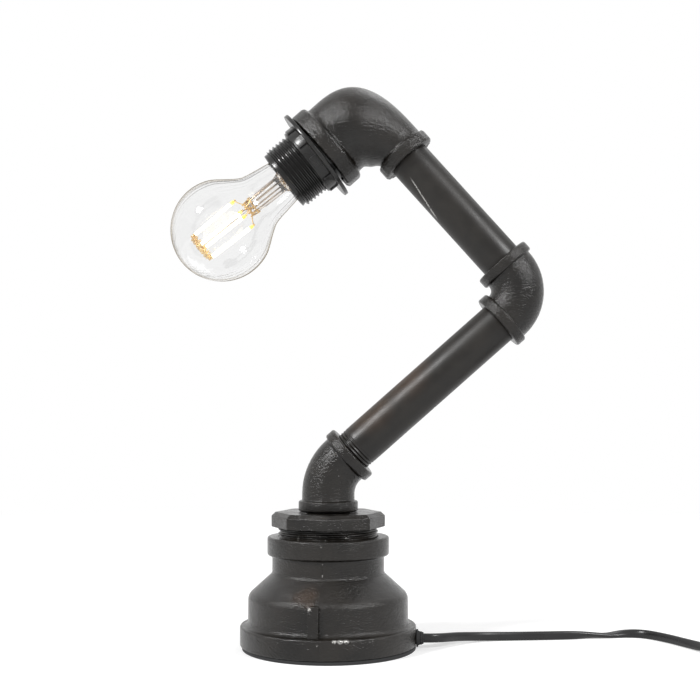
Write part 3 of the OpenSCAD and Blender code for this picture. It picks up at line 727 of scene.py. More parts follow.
class Groups:
    """The shader groups that several finishes share, each built once."""

    @staticmethod
    def _start(name: str, inputs: dict[str, float], outputs: Sequence[str]
               ) -> tuple[Graph, Node, Node]:
        """Make an empty group whose sockets are numbers.

        Args:
            name: The name of the group.
            inputs: The inputs with their defaults.
            outputs: The outputs.

        Returns:
            The group's graph, its input node and its output node.
        """
        tree = bpy.data.node_groups.new(name, "ShaderNodeTree")
        for key, value in inputs.items():
            tree.interface.new_socket(name=key, in_out="INPUT",
                                      socket_type="NodeSocketFloat").default_value = value
        for key in outputs:
            tree.interface.new_socket(name=key, in_out="OUTPUT", socket_type="NodeSocketFloat")
        graph = Graph(tree)
        return graph, graph.add("NodeGroupInput"), graph.add("NodeGroupOutput")

    @staticmethod
    def grain() -> bpy.types.NodeTree:
        """Cast or moulded skin: a height from coarse lumps and fine sand, and a cloudy mask.

        Returns:
            The group.
        """
        if "skin_grain" in bpy.data.node_groups:
            return bpy.data.node_groups["skin_grain"]
        g, inp, out = Groups._start(
            "skin_grain", {"Lump Scale": 120.0, "Sand Scale": 900.0, "Lump Part": 0.6},
            ["Height", "Cloud"])
        place, part = g.place(), inp.outputs["Lump Part"]
        lumps = g.noise(place, inp.outputs["Lump Scale"], 3.0, 0.55)
        sand = g.noise(place, inp.outputs["Sand Scale"], 2.0, 0.7)
        cloud = g.noise(place, 38.0, 4.0, 0.6)
        height = g.math("ADD", g.math("MULTIPLY", lumps, part),
                        g.math("MULTIPLY", sand, g.math("SUBTRACT", 1.0, part)))
        g.put(out, "Height", height)
        g.put(out, "Cloud", g.ramp(cloud, 0.3, 0.7))
        return g.tree

    @staticmethod
    def wear() -> bpy.types.NodeTree:
        """Edge wear: a mask of chipped edges and a few loose specks.

        Returns:
            The group.
        """
        if "edge_wear" in bpy.data.node_groups:
            return bpy.data.node_groups["edge_wear"]
        g, inp, out = Groups._start(
            "edge_wear", {"Edge Width": 0.0005, "Chip Scale": 260.0, "Chip Limit": 0.6,
                          "Speck Limit": 0.8}, ["Mask"])
        place = g.place()
        bevel = g.add("ShaderNodeBevel", {"Radius": inp.outputs["Edge Width"]}, samples=4)
        flat = g.add("ShaderNodeNewGeometry").outputs["Normal"]
        dot = g.vector("DOT_PRODUCT", bevel.outputs[0], flat)
        edge = g.ramp(g.math("SUBTRACT", 1.0, dot), 0.008, 0.09)
        masks = []
        for noise, key, fade in (
                (g.noise(place, inp.outputs["Chip Scale"], 3.0, 0.65), "Chip Limit", 0.06),
                (g.noise(place, 420.0, 1.0, 0.5), "Speck Limit", 0.03)):
            limit = inp.outputs[key]
            masks.append(g.ramp(noise, limit, g.math("ADD", limit, fade)))
        chip, speck = masks
        g.put(out, "Mask", g.math("MAXIMUM", g.math("MULTIPLY", edge, chip), speck))
        return g.tree


@dataclass(frozen=True)
class Relief:
    """The fine relief of a skin: its coarse lumps and its sand, and how strongly it shows."""

    lump_scale: float
    sand_scale: float
    lump_part: float
    depth: float
    strength: float


class Finish:
    """A material of the lamp, built the first time it is asked for."""

    name: str
    rough: Point
    relief: Relief

    def material(self) -> bpy.types.Material:
        """Return the material, and build it if it isn't there yet.

        Returns:
            The material.
        """
        title = "finish_" + self.name
        found = bpy.data.materials.get(title)
        if found:
            return found
        made = bpy.data.materials.new(title)
        made.use_nodes = True
        made.node_tree.nodes.clear()
        graph = Graph(made.node_tree)
        shader = graph.add("ShaderNodeBsdfPrincipled")
        graph.add("ShaderNodeOutputMaterial", {"Surface": shader.outputs[0]})
        self.build(graph, shader)
        return made

    def build(self, graph: Graph, shader: Node) -> None:
        """Add the nodes that feed the shader.

        Args:
            graph: The material's graph.
            shader: Its shader.
        """
        raise NotImplementedError

    def skin(self, graph: Graph, shader: Node) -> Output:
        """Give the shader its relief and a roughness that varies in clouds.

        Args:
            graph: The material's graph.
            shader: Its shader.

        Returns:
            The clouds, from 0 to 1.
        """
        relief = self.relief
        grain = graph.add("ShaderNodeGroup", {
            "Lump Scale": relief.lump_scale, "Sand Scale": relief.sand_scale,
            "Lump Part": relief.lump_part}, node_tree=Groups.grain())
        cloud = grain.outputs["Cloud"]
        graph.put(shader, "Roughness", graph.ramp(cloud, 0.0, 1.0, *self.rough))
        bump = graph.add("ShaderNodeBump", {"Height": grain.outputs["Height"],
                                            "Strength": relief.strength,
                                            "Distance": relief.depth})
        graph.put(shader, "Normal", bump.outputs["Normal"])
        return cloud


@dataclass(frozen=True)
class Varnish(Finish):
    """Black varnish over iron or steel, with rust bloom, spots of painted sheen in the rust colour,
    and wear to bright metal.
    """

    name: str
    dark: Colour = rgba(0.0034, 0.0025, 0.0017)
    light: Colour = rgba(0.0122, 0.0100, 0.0078)
    # Rust colour; on the tube, spots of it are painted sheen where the light falls.
    rust: Colour = rgba(0.032, 0.018, 0.010)
    bare: Colour = rgba(0.55, 0.54, 0.52)
    bare_metallic: float = 0.85
    rough: Point = (0.12, 0.27)
    relief: Relief = Relief(150.0, 900.0, 0.35, 0.0008, 0.9)
    specular: float = 0.36
    rust_limit: float = 0.66
    rust_fade: float = 0.12
    rust_most: float = 0.6
    edge_width: float = 0.0006
    chip_limit: float = 0.64
    speck_limit: float = 0.84
    bloom_scale: float = 24.0
    rust_and_sheen_range: Point = (0.30, 0.55)
    # Spots in the rust colour: rust on the casting, and painted sheen on the tube's lit side.
    rust_and_sheen_spots: tuple[Spot, ...] = ()
    fine_scale: float = 900.0
    scuff_range: Point = (0.42, 0.52)
    scuffs: tuple[Spot, ...] = ()
    scratch_half: Point = (0.1, 0.45)
    scratch_ends: Point = (6.0, 1.0)
    scratch_break: Point = (0.36, 0.50)
    scratch_share: Point = (0.1, 0.75)
    scratch_front: Point = (-5.0, -3.0)
    scratches: tuple[Line, ...] = ()

    def build(self, graph: Graph, shader: Node) -> None:
        """Mix varnish, rust bloom, spots of painted sheen and bare metal."""
        cloud = self.skin(graph, shader)
        wear = graph.add("ShaderNodeGroup", {
            "Edge Width": self.edge_width, "Chip Limit": self.chip_limit,
            "Speck Limit": self.speck_limit}, node_tree=Groups.wear())
        place = graph.place()
        bloom = graph.noise(place, self.bloom_scale, 5.0, 0.62)
        rust_and_sheen = graph.ramp(bloom, self.rust_limit, self.rust_limit + self.rust_fade, 0.0,
                           self.rust_most)
        # Spots of rust, and spots of painted sheen on the lit side of the tube.
        for spot in self.rust_and_sheen_spots:
            rust_and_sheen = graph.math("MAXIMUM", rust_and_sheen,
                               self.spot(graph, place, bloom, spot, self.rust_and_sheen_range))
        mask = wear.outputs["Mask"]
        fine = graph.noise(place, self.fine_scale, 2.0, 0.6)
        for spot in self.scuffs:
            mask = graph.math("MAXIMUM", mask,
                              self.spot(graph, place, fine, spot, self.scuff_range))
        for line in self.scratches:
            mask = graph.math("MAXIMUM", mask, self.scratch(graph, place, fine, line))
        varnish = graph.mix(cloud, self.dark, self.light)
        graph.put(shader, "Base Color",
                  graph.mix(mask, graph.mix(rust_and_sheen, varnish, self.rust), self.bare))
        graph.put(shader, "Metallic", graph.math("MULTIPLY", mask, self.bare_metallic))
        graph.put(shader, "Specular IOR Level", self.specular)

    @staticmethod
    def spot(graph: Graph, place: Output, pattern: Output, spot: Spot, limits: Point) -> Output:
        """Return a mask of a pattern that shows near one place only.

        Args:
            graph: The material's graph.
            place: Object coordinates.
            pattern: The pattern, from 0 to 1.
            spot: The place and its radius, in millimetres.
            limits: The values of the pattern where the mask starts and where it is full.

        Returns:
            The mask.
        """
        x, y, z, radius = spot
        gap = graph.vector("DISTANCE", place, (x * MM, y * MM, z * MM))
        near = graph.ramp(gap, 0.35 * radius * MM, radius * MM, 1.0, 0.0)
        return graph.math("MULTIPLY", near, graph.ramp(pattern, *limits))

    def scratch(self, graph: Graph, place: Output, pattern: Output, line: Line) -> Output:
        """Return the mask of a thin scratch on the front of a tube.

        Args:
            graph: The material's graph.
            place: Object coordinates.
            pattern: The pattern that breaks the scratch up, from 0 to 1.
            line: X and z of its two ends, in millimetres.

        Returns:
            The mask.
        """
        start, end = Vector((line[0], 0, line[1])), Vector((line[2], 0, line[3]))
        ahead, reach = (end - start).normalized(), (end - start).length * MM
        side = Vector((-ahead.z, 0, ahead.x))
        fade_in, fade_out = self.scratch_ends
        from_start = graph.vector("SUBTRACT", place, tuple(start * MM), output="Vector")

        def along(direction: Vector) -> Output:
            """Return how far a point lies in a direction from the scratch's start."""
            return graph.vector("DOT_PRODUCT", from_start, tuple(direction))

        def within(source: Output, limits: Point) -> Output:
            """Return 1 below the limits, in millimetres, and 0 beyond them."""
            return graph.ramp(source, limits[0] * MM, limits[1] * MM, 1.0, 0.0)

        thin = within(graph.math("ABSOLUTE", along(side)), self.scratch_half)
        part = graph.math("MULTIPLY", graph.ramp(along(ahead), 0.0, fade_in * MM),
                          graph.ramp(along(ahead), reach - fade_out * MM, reach, 1.0, 0.0))
        front = within(along(ACROSS), self.scratch_front)
        broken = graph.ramp(pattern, *self.scratch_break, *self.scratch_share)
        return graph.math("MULTIPLY", graph.math("MULTIPLY", thin, part),
                          graph.math("MULTIPLY", front, broken))


@dataclass(frozen=True)
class Plastic(Finish):
    """Moulded plastic or rubber: a soft mottle of tone, roughness and fine texture."""

    name: str
    dark: Colour = rgba(0.022, 0.022, 0.023)
    light: Colour = rgba(0.032, 0.032, 0.033)
    rough: Point = (0.34, 0.46)
    relief: Relief = Relief(200.0, 1600.0, 0.35, 0.00004, 0.6)
    specular: float = 0.36

    def build(self, graph: Graph, shader: Node) -> None:
        """Mix two near tones and a fine grain."""
        cloud = self.skin(graph, shader)
        graph.put(shader, "Base Color", graph.mix(cloud, self.dark, self.light))
        graph.put(shader, "Specular IOR Level", self.specular)


@dataclass(frozen=True)
class Metal(Finish):
    """Bare metal with a drawn or rolled surface."""

    name: str
    dark: Colour
    light: Colour
    rough: Point = (0.22, 0.36)
    relief: Relief = Relief(300.0, 2400.0, 0.6, 0.00003, 0.5)

    def build(self, graph: Graph, shader: Node) -> None:
        """Mix two tones of metal and a fine grain."""
        cloud = self.skin(graph, shader)
        graph.put(shader, "Base Color", graph.mix(cloud, self.dark, self.light))
        graph.put(shader, "Metallic", 1.0)


@dataclass(frozen=True)
class ClearGlass(Finish):
    """Clear glass with a painted dark reflection where it is seen edge-on."""

    name: str
    tint: Colour = rgba(0.930, 0.930, 0.929)
    # The tint of the painted dark reflection at the rim.
    rim: Colour = rgba(0.925, 0.910, 0.885)
    rim_start: float = 0.66
    rim_end: float = 0.95
    ior: float = 1.45

    def build(self, graph: Graph, shader: Node) -> None:
        """Set the transmission, and a coat without gloss whose tint deepens towards the rim as a
        painted dark reflection.
        """
        for key, value in (("Base Color", self.tint), ("Transmission Weight", 1.0),
                           ("IOR", self.ior), ("Roughness", 0.0), ("Coat Weight", 1.0),
                           ("Coat IOR", 1.0)):
            graph.put(shader, key, value)
        # Painted dark reflection: the coat's tint darkens the glass where it is seen edge-on.
        facing = graph.add("ShaderNodeLayerWeight", {"Blend": 0.5}).outputs["Facing"]
        edge = graph.ramp(facing, self.rim_start, self.rim_end)
        graph.put(shader, "Coat Tint", graph.mix(edge, grey(1.0), self.rim))


@dataclass(frozen=True)
class Glow(Finish):
    """A lit filament: a phosphor strip that shines in warm beads; on the filaments' ends it is a
    painted glint.
    """

    name: str
    phosphor: Colour = rgba(1.0, 0.86, 0.52)
    core: Colour = rgba(1.0, 0.94, 0.74)
    strength: float = 3.2
    bead_scale: float = 700.0

    def build(self, graph: Graph, shader: Node) -> None:
        """Let the beads vary along the strip."""
        beads = graph.noise(graph.place(), self.bead_scale, 1.0)
        colour = graph.mix(graph.ramp(beads, 0.35, 0.65), self.phosphor, self.core)
        graph.put(shader, "Base Color", colour)
        graph.put(shader, "Emission Color", colour)
        graph.put(shader, "Emission Strength", self.strength)
        graph.put(shader, "Roughness", 0.6)


class Palette:
    """All finishes of the lamp by what they are used for."""

    casting = Varnish("varnished_casting",
                      scuffs=((7.6, -50.0, 13.1, 1.7), (10.8, -49.4, 13.1, 2.0),
                              (14.0, -48.6, 13.1, 2.0), (-6.2, -48.2, 29.4, 1.4)),
                      # The casting's spots are rust beside the rib.
                      rust_and_sheen_spots=((-10.0, -42.0, 38.0, 11.0), (-7.0, -46.0, 32.5, 5.0)))
    tube = Varnish("varnished_tube", relief=Relief(70.0, 1300.0, 0.4, 0.00014, 0.9),
                   rough=(0.33, 0.45), chip_limit=0.70, speck_limit=0.86,
                   # The tube's spots are painted sheen in the rust colour along its upper edge,
                   # where the key light falls.
                   rust_and_sheen_spots=((40.0, -6.0, 160.0, 24.0), (21.0, -6.0, 140.0, 22.0)),
                   scratches=((47.7, 271.1, 64.1, 245.9), (45.8, 266.4, 63.6, 245.3)))
    holder = Plastic("holder_plastic", rgba(0.0075, 0.0072, 0.0068),
                     rgba(0.013, 0.0127, 0.0120), (0.19, 0.31))
    cord = Plastic("cord_sheath", rgba(0.010, 0.010, 0.0105), rgba(0.015, 0.015, 0.0155),
                   (0.26, 0.36), Relief(90.0, 1600.0, 0.35, 0.00003, 0.6))
    rubber = Plastic("pad_rubber", rough=(0.7, 0.85),
                     relief=Relief(200.0, 1600.0, 0.35, 0.00008, 0.6))
    gloss = Plastic("switch_plastic", rgba(0.02, 0.02, 0.021), rgba(0.027, 0.027, 0.028),
                    (0.22, 0.32))
    ceramic = Plastic("carrier_plastic", rgba(0.60, 0.56, 0.48), rgba(0.68, 0.64, 0.56),
                      (0.4, 0.55))
    glazed = Plastic("cap_insulator", rgba(0.02, 0.02, 0.03), rgba(0.03, 0.03, 0.04),
                     (0.12, 0.2))
    brass = Metal("contact_brass", rgba(0.62, 0.44, 0.18), rgba(0.74, 0.56, 0.27))
    nickel = Metal("pin_nickel", rgba(0.55, 0.53, 0.48), rgba(0.68, 0.66, 0.61), (0.16, 0.28))
    aluminium = Metal("cap_aluminium", rgba(0.62, 0.62, 0.63), rgba(0.75, 0.75, 0.76))
    # The gold tone of the support wires and clips is a painted warm glint.
    wire = Metal("wire_gold_painted_glint", rgba(0.66, 0.40, 0.14), rgba(0.93, 0.71, 0.36))
    lead = Metal("lead_wire", rgba(0.42, 0.34, 0.26), rgba(0.62, 0.52, 0.42))
    glass = ClearGlass("bulb_clear_glass")
    # The stem's glass gets the painted dark reflection at its rim too.
    stem = ClearGlass("bulb_stem_glass", rgba(0.97, 0.955, 0.94), rgba(0.90, 0.86, 0.82), 0.2)
    glow = Glow("filament_glow")
    # The filaments' ends glow orange as a painted golden glint.
    painted_end_glints = Glow("filament_ends", rgba(1.0, 0.66, 0.08), rgba(1.0, 0.84, 0.24), 0.8)


def dress(piece: Piece, finish: Finish) -> None:
    """Give a piece or a CAD node one finish all over.

    Args:
        piece: The piece.
        finish: The finish.
    """
    material = finish.material()
    if not piece.material_slots:
        piece.data.materials.append(material)
        return
    for slot in piece.material_slots:
        slot.material = material


@dataclass
class Shop:
    """What every sub-assembly needs: the frame, the skeleton and a way to hand pieces over."""

    frame: dict
    bones: Skeleton = field(default_factory=Skeleton)

    def hand_over(self, piece: Piece, body: Body, slot: str, finish: Finish,
                  nodes: Sequence[str] = ()) -> Piece:
        """Dress a finished piece, seat it on its body and hide the CAD nodes that it stands for.

        Args:
            piece: The finished piece.
            body: The body it rides on.
            slot: The record's material slot; it is not used.
            finish: Its finish.
            nodes: The CAD nodes that it replaces.

        Returns:
            The piece.
        """
        Bench.settle(piece)
        dress(piece, finish)
        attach(piece, body.value)
        if nodes:
            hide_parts(*nodes)
        log.info("%s rides on %s, %d faces", piece.name, body.value, len(piece.data.polygons))
        return piece

    def keep(self, node: str, finish: Finish) -> None:
        """Keep a CAD node as it is and give it its finish."""
        dress(self.frame["nodes"][node], finish)
        log.info("%s keeps its CAD mesh", node)


# ---- the photograph's view ----


@dataclass
class Studio:
    """Camera, lights, floor and background."""

    eye: tuple[float, float, float] = (58.75, -671.57, 133.95)
    ahead: tuple[float, float, float] = (-0.06886, 0.99606, 0.05582)
    right: tuple[float, float, float] = (0.99762, 0.06897, 0.0)
    focal_px: float = 1156.4
    frame_px: float = 700.0
    shift_px: float = 0.5
    sensor: float = 36.0
    target: tuple[float, float, float] = (0.02, 0.0, 0.16)
    surround: float = 0.35
    floor_size: float = 30000.0
    floor_paint: float = 0.66
    floor_lift: float = 0.45
    fade_from: float = 0.45
    fade_to: float = 0.99
    lift_full: float = 0.6

    def camera(self) -> None:
        """Place the camera where the photograph was taken."""
        data = bpy.data.cameras.new("camera")
        data.sensor_width = self.sensor
        data.sensor_fit = "HORIZONTAL"
        data.lens = self.focal_px / self.frame_px * self.sensor
        data.clip_end = 100.0
        data.shift_x = self.shift_px / self.frame_px
        data.shift_y = -self.shift_px / self.frame_px
        eye = bpy.data.objects.new("camera", data)
        bpy.context.scene.collection.objects.link(eye)
        forward = Vector(self.ahead).normalized()
        right = Vector(self.right).normalized()
        up = right.cross(forward)
        turn = Matrix((right, up, -forward)).transposed().to_4x4()
        eye.matrix_world = Matrix.Translation(Vector(self.eye) * MM) @ turn
        bpy.context.scene.camera = eye

    def lamp(self, name: str, place: tuple[float, float, float], size: float, watts: float
             ) -> None:
        """Add a soft square light that faces the object.

        Args:
            name: Its name.
            place: Where it hangs, in metres.
            size: Its side, in metres.
            watts: Its power.
        """
        data = bpy.data.lights.new(name, "AREA")
        data.shape = "SQUARE"
        data.size = size
        data.energy = watts
        light = bpy.data.objects.new(name, data)
        bpy.context.scene.collection.objects.link(light)
        light.location = place
        look = Vector(self.target) - Vector(place)
        light.rotation_euler = look.to_track_quat("-Z", "Y").to_euler()

    def world(self) -> None:
        """Set a plain pale surround that is white where the camera sees it."""
        world = bpy.data.worlds.new("surround")
        bpy.context.scene.world = world
        world.use_nodes = True
        world.node_tree.nodes.clear()
        g = Graph(world.node_tree)
        back = g.add("ShaderNodeBackground", {
            "Color": grey(1.0), "Strength": g.ramp(g.seen(), 0.0, 1.0, self.surround, 1.0)})
        g.add("ShaderNodeOutputWorld", {"Surface": back.outputs[0]})

    def floor(self) -> None:
        """Lay a floor that keeps the object's shadow and fades to the plain white backdrop."""
        Bench.clear()
        bpy.ops.mesh.primitive_plane_add(size=self.floor_size * MM, location=(0, 0, 0))
        plane = bpy.context.object
        plane.name = "floor"
        material = bpy.data.materials.new("floor_white")
        material.use_nodes = True
        material.node_tree.nodes.clear()
        g = Graph(material.node_tree)
        far = g.ramp(g.vector("LENGTH", g.place()), self.fade_from, self.fade_to)
        paint = g.mix(far, grey(self.floor_paint), grey(0.0))
        diffuse = g.add("ShaderNodeBsdfDiffuse", {"Color": paint})
        rise = g.ramp(far, 0.0, self.lift_full, self.floor_lift, 1.0)
        lift = g.add("ShaderNodeEmission", {
            "Color": grey(1.0), "Strength": g.math("MULTIPLY", g.seen(), rise)})
        both = g.add("ShaderNodeAddShader", {0: diffuse.outputs[0], 1: lift.outputs[0]})
        g.add("ShaderNodeOutputMaterial", {"Surface": both.outputs[0]})
        plane.data.materials.append(material)

    def build(self) -> None:
        """Set up the whole studio."""
        self.camera()
        self.lamp("key_light", (-0.95, -0.8, 1.05), 0.28, 21.0)
        self.lamp("side_light", (1.0, -0.75, 0.9), 0.26, 13.0)
        self.lamp("back_light", (0.5, 0.9, 1.6), 0.9, 4.0)
        self.world()
        self.floor()
        bpy.context.scene.view_settings.view_transform = "Standard"


# ---- the supply cord ----


@dataclass
class SupplyCord:
    """The flat twin cord from the grommet through the switch and the coil to the plug."""

    shop: Shop
    width: float = 5.2
    thick: float = 3.2
    sides: int = 16
    outlet_z: float = 6.0
    tip_x: float = 54.8
    switch_in: tuple[float, float] = (225.2, -11.2)
    switch_heading: float = -30.0
    switch_l: float = 54.0
    switch_z: float = 5.2
    coil_centre: tuple[float, float] = (270.0, 31.0)
    coil_r: float = 40.7
    coil_pitch: float = 5.8
    coil_rise: float = 3.8
    coil_turns: float = 6.8333
    coil_steps: int = 24
    coil_end_angle: float = -60.0
    tail_l: float = 26.0
    plug_z: float = 6.85
    plug_dip: float = 0.3
    route_steps: int = 4
    squareness: float = 0.82
    coil_blunt: float = 0.12
    least_step: float = 0.4

    def _smooth(self, route: Sequence[Sequence[float]]) -> list[Vector]:
        """Return points (x, y, z, roll) of the smooth curve through a route's points.

        Args:
            route: The route's points: x, y, z and the roll of the flat section.

        Returns:
            The curve's points.
        """
        points = [Vector(p) for p in route]
        last, steps = len(points) - 1, self.route_steps
        line = []
        for i in range(last):
            a, b = points[max(i - 1, 0)], points[i]
            c, d = points[i + 1], points[min(i + 2, last)]
            for j in range(steps):
                u = j / steps
                line.append(0.5 * (2 * b + (c - a) * u + (2 * a - 5 * b + 4 * c - d) * u * u
                                   + (3 * b - a - 3 * c + d) * u ** 3))
        line.append(points[last])
        return line

    def lead(self) -> list[Vector]:
        """Return the stretch from the grommet to the switch."""
        z, edge, flat = self.outlet_z, self.width / 2, self.thick / 2
        x, y = self.switch_in
        return self._smooth([
            (self.tip_x, 0, z, 90), (60, 0.4, z, 90), (66, 4, 5.6, 90), (75, 13, 4.6, 90),
            (88, 22, 3.2, 90), (106, 27, edge, 90), (123, 29.5, edge, 90), (141, 32.5, edge, 78),
            (153, 36, 2.2, 35), (164, 39, flat, 0), (176, 41.5, 2.3, -50), (187, 38.5, edge, -82),
            (197.5, 26.5, edge, -90), (206, 12, edge, -80), (213, -0.5, 3, -35),
            (219, -7.2, 4.4, -8), (x, y, self.switch_z, 0)])

    def link(self) -> list[Vector]:
        """Return the stretch from the switch to the coil."""
        flat = self.thick / 2
        way_out = heading(self.switch_heading)
        x = self.switch_in[0] + self.switch_l * way_out.x
        y = self.switch_in[1] + self.switch_l * way_out.y
        return self._smooth([
            (x, y, self.switch_z, 0), (278, -41.4, 4.6, 0), (287.5, -42.6, 3.4, 0),
            (297, -38.8, 2.2, 0), (305, -30.5, flat, 0), (309.6, -19, flat, 0),
            (310.6, -6, flat, 0), (310.7, 10, flat, 0),
            (self.coil_centre[0] + self.coil_r, self.coil_centre[1] - self.width, flat, 0)])

    def lean(self, t: float) -> float:
        """Return how many pitches the coil's middle lies inside the turn at t."""
        return math.hypot(t - self.coil_turns / 2, self.coil_blunt)

    def coil(self) -> list[Vector]:
        """Return the turns of the coil: inwards on the table, up one layer and out again."""
        count = round(self.coil_turns * self.coil_steps)
        line = []
        for i in range(count + 1):
            t = i * self.coil_turns / count
            r = self.coil_r - self.coil_pitch * (self.lean(0) - self.lean(t))
            u = min(1.0, max(0.0, 2 * t - self.coil_turns + 0.5))
            z = self.thick / 2 + self.coil_rise * u * u * (3 - 2 * u)
            out = heading(360 * t) * r
            line.append(Vector((self.coil_centre[0] + out.x, self.coil_centre[1] + out.y, z, 0)))
        return line

    def tail(self) -> list[Vector]:
        """Return the stretch from the coil to the plug."""
        ahead = heading(self.coil_end_angle + 90)
        start = Vector((*self.coil_centre, self.thick / 2 + self.coil_rise))
        start += heading(self.coil_end_angle) * self.coil_r + ahead * self.width
        third = ahead * self.tail_l / 3
        two, end = start + 2 * third, start + 3 * third
        return self._smooth([
            (*start, 0), (*(start + third + self.plug_dip * UP), 0),
            (two.x, two.y, self.plug_z - self.plug_dip, 0), (end.x, end.y, self.plug_z, 0)])

    def section(self, point: Vector, ahead: Vector) -> list[Vector]:
        """Return one ring of the flat section, a flattened oval.

        Args:
            point: Its place and its roll.
            ahead: The cord's direction there.

        Returns:
            The ring's points.
        """
        side = ahead.cross(UP).normalized()
        up = side.cross(ahead)
        roll = math.radians(point[3])
        ring = []
        for j in range(self.sides):
            q = 2 * math.pi * (j + 0.5) / self.sides
            c, s = math.cos(q), math.sin(q)
            u = self.width / 2 * math.copysign(abs(c) ** self.squareness, c)
            v = self.thick / 2 * math.copysign(abs(s) ** self.squareness, s)
            ring.append(Vector(point[:3])
                        + (u * math.cos(roll) - v * math.sin(roll)) * side
                        + (u * math.sin(roll) + v * math.cos(roll)) * up)
        return ring

    def build(self) -> None:
        """Make the cord as one tube, lay it on the base's body and keep its centre line."""
        line = self.lead() + self.link() + self.coil() + self.tail()
        clean = [line[0]]
        for point in line[1:]:
            if (Vector(point[:3]) - Vector(clean[-1][:3])).length > self.least_step:
                clean.append(point)
        rings = []
        for i, point in enumerate(clean):
            a, b = clean[max(i - 1, 0)], clean[min(i + 1, len(clean) - 1)]
            rings.append(self.section(point, (Vector(b[:3]) - Vector(a[:3])).normalized()))
        self.piece = skin("supply_cord", rings)
        self.path = [tuple(Vector(p[:3]) * MM) for p in clean]
        self.length = sum((Vector(b) - Vector(a)).length
                          for a, b in zip(self.path, self.path[1:]))
        self.shop.hand_over(self.piece, Body.BASE, "cord_black", Palette.cord,
                            ["cord_lead", "cord_link", "cord_coil", "cord_tail"])
        log.info("cord length %.3f m", self.length)


# ---- the lamp ----


@dataclass
class Foot:
    """The base: pad, cast reducing socket, octagon bushing, nipple and cord grommet."""

    shop: Shop
    pad_inset: float = 0.7
    pad_shift: float = 0.5
    pad_edge: float = 0.35
    fine_round: float = 1.2
    round_steps: int = 4
    foot_fillet: float = 3.0
    foot_thread_r: float = 43.2
    wall: float = 3.4
    bore_r: float = 28.9
    rib_w: float = 6.4
    rib_out: float = 2.6
    rib_sunk: float = 2.4
    rib_rise: float = 3.0
    rib_round: float = 0.9
    rib_angle: float = -95.0
    seam_angle: float = -91.4
    seam_w: float = 0.9
    seam_out: float = 0.16
    seam_sunk: float = 0.8
    seam_crest: float = 0.55
    thread_r: float = 28.8
    thread_pitch: float = 2.309
    thread_depth: float = 1.1
    shank_sunk: float = 9.0
    octagon_corners: float = 65.8
    octagon_turn: float = 5.0
    octagon_chamfer: float = 2.2
    octagon_slope: float = 1.1
    octagon_toe: float = 0.4
    octagon_edge: float = 0.35
    octagon_lift: float = 1.3
    rim_drop: float = 1.6
    band_lift: float = 1.2
    grommet_r: float = 3.6
    grommet_flange_r: float = 5.0
    grommet_flange_t: float = 1.2
    grommet_sunk: float = 5.0
    # How far the ribbed cone lies inside the flange's edge and ahead of its face.
    cone_line: tuple[Point, ...] = ((0.9, 0.0), (1.0, 0.7), (1.45, 1.0), (1.2, 1.3), (1.25, 1.9),
                                    (1.7, 2.2), (1.5, 2.5), (1.7, 2.9), (1.8, 3.0))
    outlet_z: float = 6.0
    cable_hole_r: float = 2.4

    @property
    def band_z(self) -> float:
        """Return the height of the upper edge of the band at the foot."""
        return self.shop.bones.foot_band_z + self.band_lift

    @property
    def rim_z(self) -> float:
        """Return the height of the casting's upper rim."""
        return self.shop.bones.base_top - self.rim_drop

    def outline(self) -> list[Point]:
        """Return the outer profile of the reducing socket, from its foot to its top.

        Returns:
            The profile.
        """
        b, e, f = self.shop.bones, self.fine_round, self.foot_fillet
        face = 90 - b.cone_slope
        return (
            rim(b.foot_band_r, b.pad_t, self.band_z, e, self.round_steps)
            + arc((b.body_r + f, self.band_z + f), f, 270, 180, 6)
            + arc((b.body_r - b.shoulder_round, b.shoulder_z), b.shoulder_round, 0, face, 8)
            + arc((b.neck_r + b.neck_round, b.neck_z), b.neck_round, 180 + face, 180, 6)
            + arc((b.neck_r + e, b.top_band_z - e), e, 180, 90)
            + rim(b.top_band_r, b.top_band_z, self.rim_z, e, self.round_steps))

    def seam(self, angle: float, profile: Profile) -> Piece:
        """Make the raised line that the casting mould left, along the outer profile.

        Args:
            angle: Where it runs round the base, in degrees.
            profile: The stretch of the outer profile that it follows.

        Returns:
            The seam.
        """
        out, side = heading(angle), heading(angle + 90) * (self.seam_w / 2)
        rings = []
        for i, (r, z) in enumerate(profile):
            r0, z0 = profile[max(i - 1, 0)]
            r1, z1 = profile[min(i + 1, len(profile) - 1)]
            normal = Vector((z1 - z0, r0 - r1)).normalized()
            ring = []
            for depth, k in ((-self.seam_sunk, 1), (self.seam_out, self.seam_crest),
                             (self.seam_out, -self.seam_crest), (-self.seam_sunk, -1)):
                p = Vector((r, z)) + depth * normal
                ring.append(out * p.x + UP * p.y + side * k)
            rings.append(ring)
        return skin("seam", rings, 60)

    def reducer(self) -> None:
        """Cast the reducing socket with its ribs and mould seams."""
        b = self.shop.bones
        outer = self.outline()
        room_r, room_z = b.body_r - self.wall, b.foot_band_z + 1
        inner = [(self.bore_r, self.rim_z), (self.bore_r, b.neck_z), (room_r, b.shoulder_z),
                 (room_r, room_z), (self.foot_thread_r, room_z), (self.foot_thread_r, b.pad_t)]
        body = lathe("base_casting", Vector(), UP, [inner[-1]] + outer + inner, 192)
        for turn in (self.rib_angle, self.rib_angle + 180):
            rib = Bench.block(
                "rib", (b.body_r - self.rib_sunk, -self.rib_w / 2, b.foot_band_z - 1),
                (b.body_r + self.rib_out, self.rib_w / 2, b.shoulder_z + self.rib_rise), turn)
            Bench.soften(rib, self.rib_round, 3)
            Bench.combine(body, rib)
        # The mould's seam shows on the foot band, from its fillet to the neck and on the top band.
        foot = 2 * (self.round_steps + 1)
        neck = next(i for i, (_, z) in enumerate(outer) if z > b.neck_z)
        seams = [self.seam(self.seam_angle + turn, stretch) for turn in (0, 180)
                 for stretch in (outer[2:foot], outer[foot + 4:neck + 5], outer[-9:-2])]
        Bench.finish(body, 34)
        piece = Bench.join([body] + seams, "base_casting")
        self.shop.hand_over(piece, Body.BASE, "cast_iron_black", Palette.casting,
                            ["base_reducer"])

